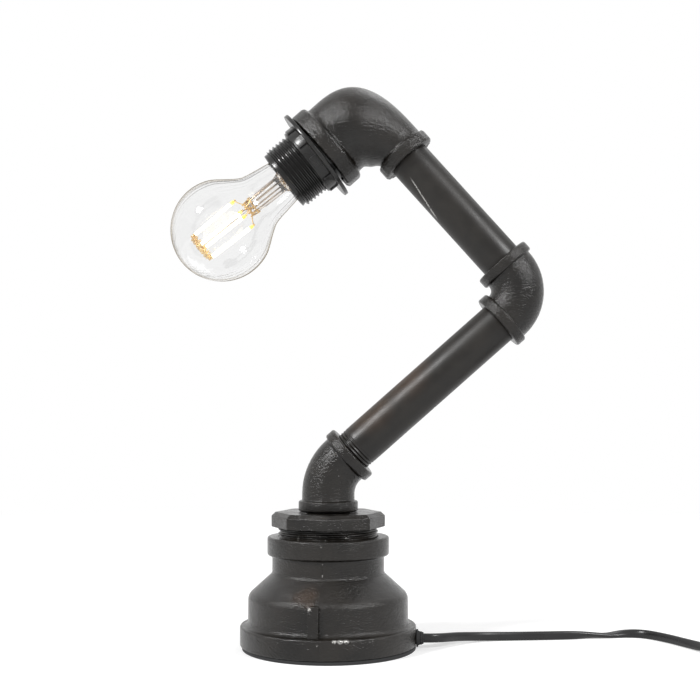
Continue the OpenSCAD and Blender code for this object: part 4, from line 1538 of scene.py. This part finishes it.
    def octagon_bushing(self) -> None:
        """Turn the bushing: a pipe thread below an octagon with a chamfered top."""
        b = self.shop.bones
        low, high = b.octagon_z + self.octagon_lift, b.octagon_top
        corner = self.octagon_corners / 2
        head = lathe("bushing_head", Vector(), UP,
                     [(0, low), (corner - self.octagon_toe, low),
                      (corner, low + self.octagon_toe), (corner, high - self.octagon_chamfer),
                      (corner - self.octagon_slope * self.octagon_chamfer, high), (0, high)],
                     8, 10, self.octagon_turn)
        Bench.soften(head, self.octagon_edge, 3, 20)
        Bench.finish(head, 24)
        start, end = b.base_top - self.shank_sunk, low + 0.5
        shank = lathe("shank", Vector(), UP,
                      [(0, start)] + rows(self.thread_r, start, end, self.thread_pitch / 9)
                      + [(0, end)], 128)
        Thread(Vector(), UP, self.thread_pitch, self.thread_depth, start - 2, end + 2).cut(shank)
        Bench.finish(shank, 30)
        self.shop.hand_over(Bench.join([head, shank], "octagon_bushing"), Body.BASE,
                            "cast_iron_black", Palette.casting, ["bushing"])

    def pad(self) -> None:
        """Cut the foot pad."""
        b = self.shop.bones
        profile = ([(0, 0)] + rim(b.foot_band_r - self.pad_inset, 0, b.pad_t, self.pad_edge, 3)
                   + [(0, b.pad_t)])
        piece = lathe("foot_pad", Vector((self.pad_shift, 0, 0)), UP, profile, 160)
        self.shop.hand_over(piece, Body.BASE, "pad_rubber", Palette.rubber, ["base_pad"])

    def grommet(self) -> None:
        """Mould the grommet with its flange and ribbed relief."""
        face = self.shop.bones.foot_band_r
        front, back = face + self.grommet_flange_t, face - self.grommet_sunk
        flange, neck, hole = self.grommet_flange_r, self.grommet_r, self.cable_hole_r
        cone = [(flange - drop, front + ahead) for drop, ahead in self.cone_line]
        profile = ([(hole, back), (neck, back), (neck, face - 0.02)]
                   + rim(flange, face, front, self.pad_edge, 3) + cone
                   + [(hole, cone[-1][1]), (hole, back)])
        piece = lathe("outlet_grommet", Vector((0, 0, self.outlet_z)), Vector((1, 0, 0)),
                      profile, 64, 40)
        self.shop.hand_over(piece, Body.BASE, "grommet_rubber", Palette.rubber, ["cord_grommet"])

    def build(self) -> None:
        """Build and dress the base."""
        self.reducer()
        self.octagon_bushing()
        self.pad()
        self.grommet()
        self.shop.keep("close_nipple", Palette.tube)
        self.shop.keep("cable_base", Palette.cord)


@dataclass
class Elbow:
    """A cast elbow with a band at each end and a bore right through."""

    name: str
    corner: Vector
    angle_in: float
    angle_out: float
    leg_in: float
    leg_out: float
    bend_r: float
    body_r: float = 15.2
    band_r: float = 17.2
    band_w: float = 6.2
    bore_r: float = 12.35
    edge: float = 1.2
    fillet: float = 0.75
    least_fillet: float = 0.2
    sides: int = 96

    def _end(self, straight: float) -> list[Point]:
        """Return the profile from the bore's mouth over the band to the start of the bend.

        Args:
            straight: How far the bend starts from the face.

        Returns:
            The profile.
        """
        f = max(self.least_fillet, min(self.fillet, straight - self.band_w - 0.05))
        return ([(self.bore_r, 0.0), (self.bore_r + 0.5, 0.0)]
                + rim(self.band_r, 0, self.band_w, self.edge, 5)
                + arc((self.body_r + f, self.band_w + f), f, 270, 180)
                + [(self.body_r, straight)])

    def build(self) -> Piece:
        """Grow the casting from one face to the other and back through its bore.

        Returns:
            The casting.
        """
        turn = self.angle_out - self.angle_in
        reach = self.bend_r * math.tan(math.radians(abs(turn)) / 2)
        along, out = way(self.angle_in), way(self.angle_out)
        side = (out - out.dot(along) * along).normalized()
        back = (-along + along.dot(out) * out).normalized()
        steps = max(6, round(abs(turn) / 5))
        grow = Lathe(self.name, self.corner - self.leg_in * along, along, self.bore_r, self.sides)
        grow.follow(self._end(self.leg_in - reach)).bend(side, self.bend_r, abs(turn), steps)
        exit_end = self._end(self.leg_out - reach)
        grow.follow([(r, -z) for r, z in reversed(exit_end)])
        grow.to(-(self.leg_out - reach), self.bore_r)
        grow.along = -grow.along
        grow.bend(back, self.bend_r, abs(turn), steps)
        grow.to(self.leg_in - reach, self.bore_r)
        return grow.close(30)


@dataclass
class Tube:
    """A steel tube with a pipe thread at both ends."""

    name: str
    start: Vector
    angle: float
    show: float
    sunk: float = 6.0
    radius: float = 12.25
    bore_r: float = 10.0
    pitch: float = 1.814
    depth: float = 0.4
    low_show: float = 0.5
    high_show: float = 0.5
    sides: int = 96

    def build(self) -> Piece:
        """Turn the tube and cut both threads.

        Returns:
            The tube.
        """
        along = way(self.angle)
        low, high = -self.sunk, self.show + self.sunk
        a, b = self.low_show, self.show - self.high_show
        step = self.pitch / 10
        profile = ([(self.bore_r, low)] + rows(self.radius, low, a, step)
                   + rows(self.radius, a, b, 10)[1:] + rows(self.radius, b, high, step)[1:]
                   + [(self.bore_r, high), (self.bore_r, low)])
        piece = lathe(self.name, self.start, along, profile, self.sides)
        inner = (self.radius + self.bore_r) / 2
        for first, last in ((low - 3, a), (b, high + 3)):
            Thread(self.start, along, self.pitch, self.depth, first, last, 3.0, inner).cut(piece)
        Bench.finish(piece, 30)
        return piece


@dataclass
class LowerArm:
    """The elbow on the base and the tube that leans to the right."""

    shop: Shop
    bend_r: float = 26.0

    def build(self) -> None:
        """Build and dress the lower arm."""
        b = self.shop.bones
        elbow = Elbow("lower_elbow_casting", b.lower_corner, 90, b.lower_angle, b.lower_leg_in,
                      b.lower_leg_out, self.bend_r).build()
        self.shop.hand_over(elbow, Body.LOWER_ARM, "cast_iron_black", Palette.casting,
                            ["lower_elbow"])
        start = b.lower_corner + b.lower_leg_out * way(b.lower_angle)
        tube = Tube("lower_pipe", start, b.lower_angle, b.lower_show, low_show=6.5).build()
        self.shop.hand_over(tube, Body.LOWER_ARM, "pipe_steel", Palette.tube, ["lower_tube"])
        self.shop.keep("cable_lower", Palette.cord)


@dataclass
class UpperArm:
    """The middle elbow and the tube that leans back to the left."""

    shop: Shop
    bend_r: float = 19.2

    def build(self) -> None:
        """Build and dress the upper arm."""
        b = self.shop.bones
        elbow = Elbow("middle_elbow_casting", b.middle_corner, b.lower_angle, b.upper_angle,
                      b.middle_leg, b.middle_leg, self.bend_r).build()
        self.shop.hand_over(elbow, Body.UPPER_ARM, "cast_iron_black", Palette.casting,
                            ["middle_elbow"])
        start = b.middle_corner + b.middle_leg * way(b.upper_angle)
        tube = Tube("upper_pipe", start, b.upper_angle, b.upper_show).build()
        self.shop.hand_over(tube, Body.UPPER_ARM, "pipe_steel", Palette.tube, ["upper_tube"])
        self.shop.keep("cable_upper", Palette.cord)


@dataclass
class Head:
    """The reducing elbow at the top with the lampholder in its mouth."""

    shop: Shop
    crotch_in: float = 29.0
    crotch_out: float = 22.1
    crotch_r: float = 4.7
    mouth_body_r: float = 22.9
    fitting_r: float = 15.2
    squareness: float = 2.9
    band_r: float = 17.2
    band_w: float = 7.4
    mouth_band_w: float = 9.8
    mouth_edge: float = 2.2
    mouth_fillet: float = 1.6
    mouth_bore_r: float = 21.0
    mouth_bore_l: float = 15.0
    bore_r: float = 12.35
    bore_l: float = 12.0
    edge: float = 1.2
    rings: int = 44
    sides: int = 96
    skirt_r: float = 19.7
    rim_r: float = 18.35
    skirt_bore_r: float = 16.9
    skirt_front: float = 25.7
    skirt_back: float = 9.0
    rim_l: float = 2.6
    rim_edge: float = 0.5
    shoulder_edge: float = 0.3
    thread_start: float = -1.0
    thread_pitch: float = 2.5
    thread_depth: float = 1.15
    thread_fade: float = 1.2
    thread_crest: float = 0.22

    def far(self, a: float) -> float:
        """Return the distance from the crotch's centre to the back of the elbow.

        Args:
            a: The angle in radians.

        Returns:
            The distance.
        """
        x, y = self.crotch_in + self.mouth_body_r, self.crotch_out + self.fitting_r
        n = self.squareness
        return ((math.cos(a) / x) ** n + (abs(math.sin(a)) / y) ** n) ** (-1 / n)

    def near(self, a: float) -> float:
        """Return the distance from the crotch's centre to the near wall.

        Args:
            a: The angle in radians.

        Returns:
            The distance.
        """
        u = a / (math.pi / 2) + 1
        start, end = self.crotch_out - self.fitting_r, self.crotch_in - self.mouth_body_r
        return start + (end - start) * u - (start - self.crotch_r) * math.sin(math.pi * u)

    def casting(self) -> Piece:
        """Loft the curved body, add both bands and bore both ends.

        Returns:
            The casting.
        """
        b = self.shop.bones
        ahead, side = way(b.upper_angle), way(b.mouth_angle)

        def place(x: float, y: float, z: float) -> Vector:
            """Return a point from its place along the tube, along the mouth and across both."""
            return b.head_corner + x * ahead + y * side + z * ACROSS

        rings = []
        for i in range(self.rings + 1):
            a = -math.pi / 2 * (1 - i / self.rings)
            far, near = self.far(max(a, -math.pi / 2 + 1e-9)), self.near(a)
            r, m = (far - near) / 2, (far + near) / 2
            ring = []
            for j in range(self.sides):
                q = 2 * math.pi * j / self.sides
                d = m + r * math.cos(q)
                ring.append((-self.crotch_in + d * math.cos(a), self.crotch_out + d * math.sin(a),
                             r * math.sin(q)))
            rings.append(ring)
        first = [(-b.head_leg_in + 2, y, z) for _, y, z in rings[0]]
        last = [(x, b.head_leg_out - 2, z) for x, _, z in rings[-1]]
        body = skin("head_elbow_casting", [[place(*p) for p in ring]
                                           for ring in [first] + rings + [last]], 40)
        e, lap = self.edge, 0.05
        tube_band = ([(0, 0)] + rim(self.band_r, 0, self.band_w, e, 5)
                     + arc((self.fitting_r - lap + e, self.band_w + e), e, 240, 180)
                     + [(0, self.band_w + e)])
        Bench.combine(body, lathe("band", b.head_corner - b.head_leg_in * ahead, ahead,
                                  tube_band, self.sides))
        r, w = b.mouth_band_r, self.mouth_band_w
        e2, f2 = self.mouth_edge, self.mouth_fillet
        mouth_band = ([(0, 0)] + arc((r - e, e), e, -90, 0, 5)
                      + arc((r - e2, w - e2), e2, 0, 75, 6)
                      + arc((self.mouth_body_r - lap + f2, w + f2), f2, 235, 180)
                      + [(0, w + f2)])
        Bench.combine(body, lathe("band", b.mouth, -side, mouth_band, self.sides))
        for start, along, radius, depth in (
                (b.head_corner - (b.head_leg_in + 2) * ahead, ahead, self.bore_r,
                 self.bore_l + 2),
                (b.mouth + 2 * side, -side, self.mouth_bore_r, self.mouth_bore_l + 2)):
            bore = lathe("bore", start, along,
                         [(0, 0), (radius, 0), (radius, depth), (0, depth)], self.sides)
            Bench.combine(body, bore, "DIFFERENCE")
        Bench.finish(body, 34)
        return body

    def skirt(self) -> Piece:
        """Turn the lampholder's skirt with its coarse outer thread.

        Returns:
            The skirt.
        """
        along = way(self.shop.bones.holder_angle)
        start = self.shop.bones.holder_origin
        shoulder, front = self.skirt_front - self.rim_l, self.skirt_front
        e = self.rim_edge
        profile = ([(self.skirt_bore_r, -self.skirt_back), (self.skirt_r, -self.skirt_back)]
                   + rows(self.skirt_r, self.thread_start, shoulder - self.shoulder_edge,
                          self.thread_pitch / 10)
                   + [(self.skirt_r - self.shoulder_edge, shoulder), (self.rim_r, shoulder)]
                   + arc((self.rim_r - e, front - e), e, 0, 90, 4)
                   + arc((self.skirt_bore_r + e, front - e), e, 90, 180, 4)
                   + [(self.skirt_bore_r, -self.skirt_back)])
        piece = lathe("lampholder_skirt", start, along, profile, 128)
        Thread(start, along, self.thread_pitch, self.thread_depth, self.thread_start - 0.2,
               shoulder + 0.8, self.thread_fade, (self.skirt_r + self.skirt_bore_r) / 2,
               self.thread_crest).cut(piece)
        Bench.finish(piece, 28)
        return piece

    def build(self) -> None:
        """Build and dress the head."""
        self.shop.hand_over(self.casting(), Body.HEAD, "cast_iron_black", Palette.casting,
                            ["head_elbow"])
        self.shop.hand_over(self.skirt(), Body.HEAD, "holder_plastic", Palette.holder,
                            ["holder_skirt"])
        for node, finish in (("holder_cap", Palette.holder), ("contact_carrier", Palette.ceramic),
                             ("screw_shell", Palette.brass), ("centre_contact", Palette.brass),
                             ("terminal_screws", Palette.brass), ("cable_head", Palette.cord)):
            self.shop.keep(node, finish)


@dataclass
class ShadeRing:
    """The ring that clamps a shade: a flange, a collar and grip pads."""

    shop: Shop
    flange_r: float = 29.0
    flange_t: float = 2.2
    collar_r: float = 21.1
    collar_l: float = 6.2
    bore_r: float = 20.0
    grip_count: int = 9
    grip_w: float = 7.0
    grip_out: float = 0.7
    grip_sunk: float = 0.5
    grip_back: float = 1.0
    grip_round: float = 0.35
    edge: float = 0.3
    collar_edge: float = 0.4
    fillet: float = 0.6

    def build(self) -> None:
        """Turn the ring, add the pads and dress it."""
        b = self.shop.bones
        along, e, c, f = way(b.holder_angle), self.edge, self.collar_edge, self.fillet
        front = self.flange_t + self.collar_l
        profile = ([(self.bore_r, 0)] + arc((self.flange_r - e, e), e, -90, 0)
                   + arc((self.flange_r - e, self.flange_t - e), e, 0, 90, 3)
                   + arc((self.collar_r + f, self.flange_t + f), f, 270, 180)
                   + arc((self.collar_r - c, front - c), c, 0, 90)
                   + [(self.bore_r + e, front), (self.bore_r, front - e), (self.bore_r, 0)])
        ring = lathe("shade_clamp_ring", b.holder_origin, along, profile, 128)
        a = math.radians(b.holder_angle)
        axes = Matrix(((0, -math.sin(a), math.cos(a)), (1, 0, 0),
                       (0, math.cos(a), math.sin(a)))).to_4x4()
        pads = []
        for i in range(self.grip_count):
            pad = Bench.block(
                "pad", (self.bore_r + self.grip_sunk, -self.grip_w / 2,
                        self.flange_t - self.grip_sunk),
                (self.collar_r + self.grip_out, self.grip_w / 2, front - self.grip_back),
                360 * i / self.grip_count)
            Bench.soften(pad, self.grip_round)
            pad.matrix_world = Matrix.Translation(b.holder_origin * MM) @ axes
            Bench.settle(pad)
            pads.append(pad)
        Bench.combine(ring, Bench.join(pads, "pads"))
        Bench.finish(ring, 30)
        self.shop.hand_over(ring, Body.SHADE_CLAMP, "holder_plastic", Palette.holder,
                            ["shade_ring"])


@dataclass
class FilamentBulb:
    """The clear bulb: glass, stem, filaments, wires and screw cap."""

    shop: Shop
    globe_r: float = 30.0
    length: float = 105.0
    neck_r: float = 12.5
    cap_r: float = 13.1
    cap_l: float = 27.0
    insulator_l: float = 5.0
    glass_t: float = 0.8
    glass_sunk: float = 2.4
    join_angle: float = 113.6
    join_pull: float = 5.0
    waist_out: float = 4.1
    waist_back: float = 28.9
    waist_pulls: tuple[Point, Point, Point] = ((1.8, 5.4), (1.9, 7.0), (1.6, 4.8))
    neck_rings: int = 14
    globe_rings: int = 32
    stem_r: float = 5.0
    stem_back: float = 22.0
    flare_r: float = 8.0
    filament_l: float = 30.0
    filament_r: float = 1.0
    filament_count: int = 4
    strips_back: float = 15.0
    low_r: float = 9.2
    high_r: float = 8.2
    first_strip: float = -3.0
    strip_gap: float = 0.4
    clip_r: float = 1.1
    tip_r: float = 1.08
    tip_span: Point = (-1.4, 1.2)
    tail_r: float = 0.7
    wire_r: float = 0.3
    mast_r: float = 0.2
    mast_over: float = 3.0
    lead_r: float = 0.4
    lead_rows: tuple[float, ...] = (-2.7, -1.0, 0.9, 2.6)
    tangle_r: float = 0.32
    tangle_draw: float = 0.85
    root_tangle: tuple[float, float, int] = (5.3, 3.2, 17)  # radius, reach and count
    crown_tangle: tuple[float, int] = (1.9, 24)  # reach and count
    tangle_leans: Point = (-0.5, 0.7)
    thread_pitch: float = 3.62
    thread_depth: float = 0.75
    cap_wall: float = 0.45
    insulator_line: Profile = ((0, 1.4), (4.4, 1.4), (5.9, 1.5), (7.2, 2.4), (10.4, 4.2),
                               (12.0, 4.9), (12.1, 5.2), (12.1, 6.0), (0, 6.0))
    tip_line: Profile = ((0, 0), (2.4, 0.02), (3.5, 0.2), (4.2, 0.6), (4.4, 1.0), (4.4, 1.38),
                         (0, 1.38))

    def __post_init__(self) -> None:
        """Work out the axis and the stations along it."""
        b = self.shop.bones
        self.along = way(b.holder_angle)
        self.start = b.on_holder(b.bulb_tip_s)
        self.globe_t = self.length - self.globe_r
        self.glass_start = self.cap_l - self.glass_sunk
        self.stem_top = self.globe_t - self.stem_back
        self.low_t = self.globe_t - self.strips_back

    def at(self, x: float, y: float, t: float) -> Vector:
        """Return a point from its place across the bulb's axis and along it."""
        up = way(self.shop.bones.holder_angle + 90)
        return self.start + t * self.along + x * ACROSS + y * up

    def round_at(self, radius: float, angle: float, t: float) -> Vector:
        """Return a point from its radius, its angle in radians and its place along the axis."""
        return self.at(radius * math.cos(angle), radius * math.sin(angle), t)

    def turned(self, name: str, profile: Profile, sides: int = 96, smooth: float = 32.0
               ) -> Piece:
        """Turn a profile about the bulb's axis."""
        return lathe(name, self.start, self.along, profile, sides, smooth)

    def glass_line(self, inset: float) -> list[Point]:
        """Return the profile of the glass from its neck to the far end of the globe.

        Args:
            inset: How far it lies inside the outer face.

        Returns:
            The profile.
        """
        a = math.radians(self.join_angle)
        low = Vector((self.neck_r, self.glass_start))
        high = Vector((self.neck_r + self.waist_out, self.globe_t - self.waist_back))
        join = Vector((self.globe_r * math.sin(a), self.globe_t + self.globe_r * math.cos(a)))
        low_pull, high_pull, globe_pull = (Vector(pull) for pull in self.waist_pulls)
        join_pull = self.join_pull * Vector((-math.cos(a), math.sin(a)))

        def curve(p: Vector, q: Vector, r: Vector, s: Vector, u: float) -> Vector:
            """Return the point at share u of the curve from p to s that q and r pull."""
            v = 1 - u
            return v ** 3 * p + 3 * v * v * u * q + 3 * v * u * u * r + u ** 3 * s

        n = self.neck_rings
        points = [curve(low, low + low_pull, high - high_pull, high, i / n) for i in range(n)]
        points += [curve(high, high + globe_pull, join - join_pull, join, i / n)
                   for i in range(n)]
        line = []
        for i, p in enumerate(points):
            nxt = points[i + 1] if i + 1 < len(points) else join
            normal = Vector(((nxt - p).y, -(nxt - p).x)).normalized()
            line.append(tuple(p - inset * normal))
        r = self.globe_r - inset
        for i in range(self.globe_rings + 1):
            q = a * (1 - i / self.globe_rings)
            line.append((r * math.sin(q), self.globe_t + r * math.cos(q)))
        return line

    def glass(self) -> None:
        """Blow the envelope as one closed wall."""
        outer, inner = self.glass_line(0), self.glass_line(self.glass_t)
        profile = list(reversed(outer)) + inner
        self.shop.hand_over(self.turned("clear_envelope", profile, 160, 80), Body.BULB,
                            "bulb_clear_glass", Palette.glass, ["bulb_glass"])

    def stem(self) -> None:
        """Draw the glass stem: a flare, a tube and the pinched seal."""
        s, t = self.stem_r, self.glass_start + 0.4
        profile = [(0, self.cap_l + 2.5), (3.0, self.cap_l + 1.6), (self.flare_r - 1.6, t + 1.4),
                   (self.flare_r + 1.4, t + 0.3), (self.neck_r - self.glass_t - 0.08, t),
                   (self.neck_r - self.glass_t - 0.3, t + 0.7), (self.flare_r + 0.4, t + 1.6),
                   (self.flare_r - 1.2, t + 3.0), (s + 0.8, t + 5.0), (s, t + 7.5),
                   (s - 0.1, self.stem_top - 7), (s - 0.5, self.stem_top - 4.5),
                   (s - 0.3, self.stem_top - 2.5), (s - 1.2, self.stem_top - 0.6),
                   (s - 2.6, self.stem_top), (0, self.stem_top)]
        self.shop.hand_over(self.turned("glass_stem", profile, 64, 60), Body.BULB,
                            "bulb_stem_glass", Palette.stem, ["bulb_stem"])

    def tangle(self, t: float, radius: float, reach: float, count: int) -> list[Piece]:
        """Cross short wires round the axis.

        Args:
            t: Their place along the axis, in millimetres.
            radius: The radius on which they start, in millimetres.
            reach: Half their length along the axis, in millimetres.
            count: How many there are.

        Returns:
            The wires.
        """
        wires = []
        for k in range(count):
            a = math.tau * k / count
            b = a + self.tangle_leans[k % 2]
            wires.append(rod("wire", self.round_at(radius, a, t - reach),
                             self.round_at(self.tangle_draw * radius, b, t + reach),
                             self.tangle_r, 8))
        return wires

    def hoop(self, t: float, radius: float, thick: float) -> Piece:
        """Bend a wire ring round the axis.

        Args:
            t: Its place along the axis, in millimetres.
            radius: Its radius, in millimetres.
            thick: The radius of its wire, in millimetres.

        Returns:
            The ring.
        """
        turns = [math.tau * k / 12 for k in range(13)]
        return self.turned("ring", [(radius + thick * math.cos(a), t + thick * math.sin(a))
                                    for a in turns], 72)

    def light(self) -> None:
        """Hang the filament strips with their clips on the wires."""
        top, crown = self.stem_top, self.low_t + self.filament_l
        root, mast = self.at(0, 0, top), self.at(0, 0, crown + self.mast_over)
        leads = [rod("lead", root - 4 * self.along, mast, self.mast_r, 12)]
        leads += [rod("lead", self.at(0.3, y, self.cap_l + 1.8),
                      self.at(0.3, 0.9 * y, top - 0.4), self.lead_r, 10) for y in self.lead_rows]
        wires = (self.tangle(top + 0.2, *self.root_tangle)
                 + self.tangle(crown + 0.4, self.high_r, *self.crown_tangle))
        strips, ends = [], []
        for i in range(self.filament_count):
            a = math.radians(self.first_strip) + 2 * math.pi * i / self.filament_count
            low = self.round_at(self.low_r, a, self.low_t)
            high = self.round_at(self.high_r, a, crown)
            step = (high - low).normalized()
            gap, (back, front) = self.strip_gap * step, self.tip_span
            foot = low - 1.5 * step
            strips.append(rod("strip", low + gap, high - gap, self.filament_r, 20, 0.6))
            # Each end piece glows orange as a painted glint.
            ends.append(rod("end", low + back * step, low + front * step, self.tip_r, 16, 0.3))
            wires += [
                rod("wire", low - 2.6 * step, foot, self.tail_r, 12),
                rod("wire", high - 1.4 * step, high + 1.6 * step, self.clip_r, 16, 0.3),
                rod("wire", root + 0.3 * self.along, foot, self.wire_r, 10),
                rod("wire", mast - 0.6 * self.along, high + 1.3 * step, self.wire_r, 10)]
        wires += [self.hoop(crown + 0.8, self.high_r, 0.55), self.hoop(top - 1.6, 5.4, 0.4),
                  self.hoop(top + 1.4, 4.2, 0.4)]
        # The end pieces carry a painted glint, and the support wires a painted warm gold tone.
        for pieces, name, slot, finish, nodes in (
                (strips, "filament_strips", "filament_glow", Palette.glow, ["bulb_filaments"]),
                (ends, "filament_ends", "filament_glow", Palette.painted_end_glints, []),
                (leads, "lead_wires", "wire_nickel", Palette.lead, []),
                (wires, "support_wires", "wire_nickel", Palette.wire, ["bulb_wires"])):
            self.shop.hand_over(Bench.join(pieces, name), Body.BULB, slot, finish, nodes)

    def cap(self) -> None:
        """Roll the screw cap, with its insulator and centre tip."""
        r, low, high = self.cap_r, self.insulator_l, self.cap_l
        inside, step = r - self.cap_wall, self.thread_pitch / 12
        profile = ([(inside, low)] + rows(r, low, high - 3.2, step)
                   + [(r + 0.5, high - 2.8), (r + 1, high - 2.2), (r + 1, high), (r + 0.6, high),
                      (r + 0.6, high - 1.8)]
                   + rows(inside, high - 3.4, low, step))
        piece = self.turned("screw_cap", profile)
        Thread(self.start, self.along, self.thread_pitch, self.thread_depth, low - 1, high - 4.4,
               2.0, 5.0, 0.1).cut(piece)
        Bench.finish(piece, 40, THIN_MERGE)
        self.shop.hand_over(piece, Body.BULB, "cap_aluminium", Palette.aluminium, ["bulb_cap"])
        self.shop.hand_over(self.turned("glazed_insulator", self.insulator_line), Body.BULB,
                            "cap_insulator", Palette.glazed, ["bulb_insulator"])
        self.shop.hand_over(self.turned("centre_tip", self.tip_line, 64), Body.BULB,
                            "cap_aluminium", Palette.aluminium, ["bulb_tip"])

    def build(self) -> None:
        """Build and dress the bulb."""
        self.glass()
        self.stem()
        self.light()
        self.cap()


@dataclass
class CordGear:
    """What sits on the cord: the switch, the plug and the tie round the coil."""

    shop: Shop
    cord: SupplyCord
    tie_angle: float = 200.0
    tie_w: float = 3.0
    tie_t: float = 0.5
    tie_bend: float = 1.6
    tie_merge: float = 1e-7  # metres

    def softened(self, node: str, name: str, width: float, slot: str, finish: Finish,
                 body: Body = Body.BASE) -> Piece:
        """Round the edges of a clean copy of a CAD node and let it stand for the node.

        Args:
            node: The CAD node.
            name: The name of the new piece.
            width: The width of the rounding, in millimetres.
            slot: The record's material slot.
            finish: Its finish.
            body: The body it rides on.

        Returns:
            The new piece.
        """
        piece = Bench.copy_of(self.shop.frame["nodes"][node], name)
        Bench.soften(piece, width, 3, 28)
        Bench.finish(piece, 30)
        return self.shop.hand_over(piece, body, slot, finish, [node])

    def tie(self) -> Piece:
        """Bend the tie round the coil's bundle.

        Returns:
            The tie.
        """
        c, e = self.cord, self.tie_bend
        low = c.coil_r - c.coil_pitch * (c.lean(0) - c.lean(c.coil_turns / 2)) - c.width / 2
        high, top = c.coil_r + c.width / 2, c.thick + c.coil_rise
        out, side = heading(self.tie_angle), heading(self.tie_angle + 90) * (self.tie_w / 2)
        centre = Vector((*c.coil_centre, 0))
        corners = ((high - e, e), (high - e, top - e), (low + e, top - e), (low + e, e))
        loops = []
        for k, grow in ((-1, self.tie_t), (-1, 0.0), (1, 0.0), (1, self.tie_t)):
            loops.append([centre + out * r + UP * max(0.02, h) + side * k
                          for i, corner in enumerate(corners)
                          for r, h in arc(corner, e + grow, 90 * i - 90, 90 * i, 5)])
        n = len(loops[0])
        faces = [[i * n + j, i * n + (j + 1) % n, (i + 1) % 4 * n + (j + 1) % n,
                  (i + 1) % 4 * n + j] for i in range(4) for j in range(n)]
        piece = Bench.sheet("cord_tie", [p for loop in loops for p in loop], faces, 35,
                            self.tie_merge)
        return self.shop.hand_over(piece, Body.BASE, "cord_black", Palette.cord)

    def build(self) -> list[Piece]:
        """Build and dress all pieces on the cord.

        Returns:
            The pieces that go with the cord.
        """
        plastic = "switch_plastic", Palette.gloss
        return [
            self.softened("switch_lower", "switch_bottom_shell", 0.6, *plastic),
            self.softened("switch_upper", "switch_top_shell", 0.6, *plastic),
            self.softened("switch_rocker", "rocker_button", 0.35, *plastic, Body.ROCKER),
            self.softened("plug_body", "plug_moulding", 0.9, "plug_plastic", Palette.gloss),
            self.softened("plug_pins", "contact_pins", 0.15, "pin_nickel", Palette.nickel),
            self.tie()]


def main() -> None:
    """Load the frame, set up the view and build every sub-assembly."""
    logging.basicConfig(level=logging.INFO, format="%(name)s: %(message)s")
    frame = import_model()
    Studio().build()
    shop = Shop(frame)
    cord = SupplyCord(shop)
    cord.build()
    for assembly in (Foot(shop), LowerArm(shop), UpperArm(shop), Head(shop), ShadeRing(shop),
                     FilamentBulb(shop)):
        assembly.build()
        log.info("%s is done", type(assembly).__name__)
    CordGear(shop, cord).build()


if __name__ == "__main__":
    main()
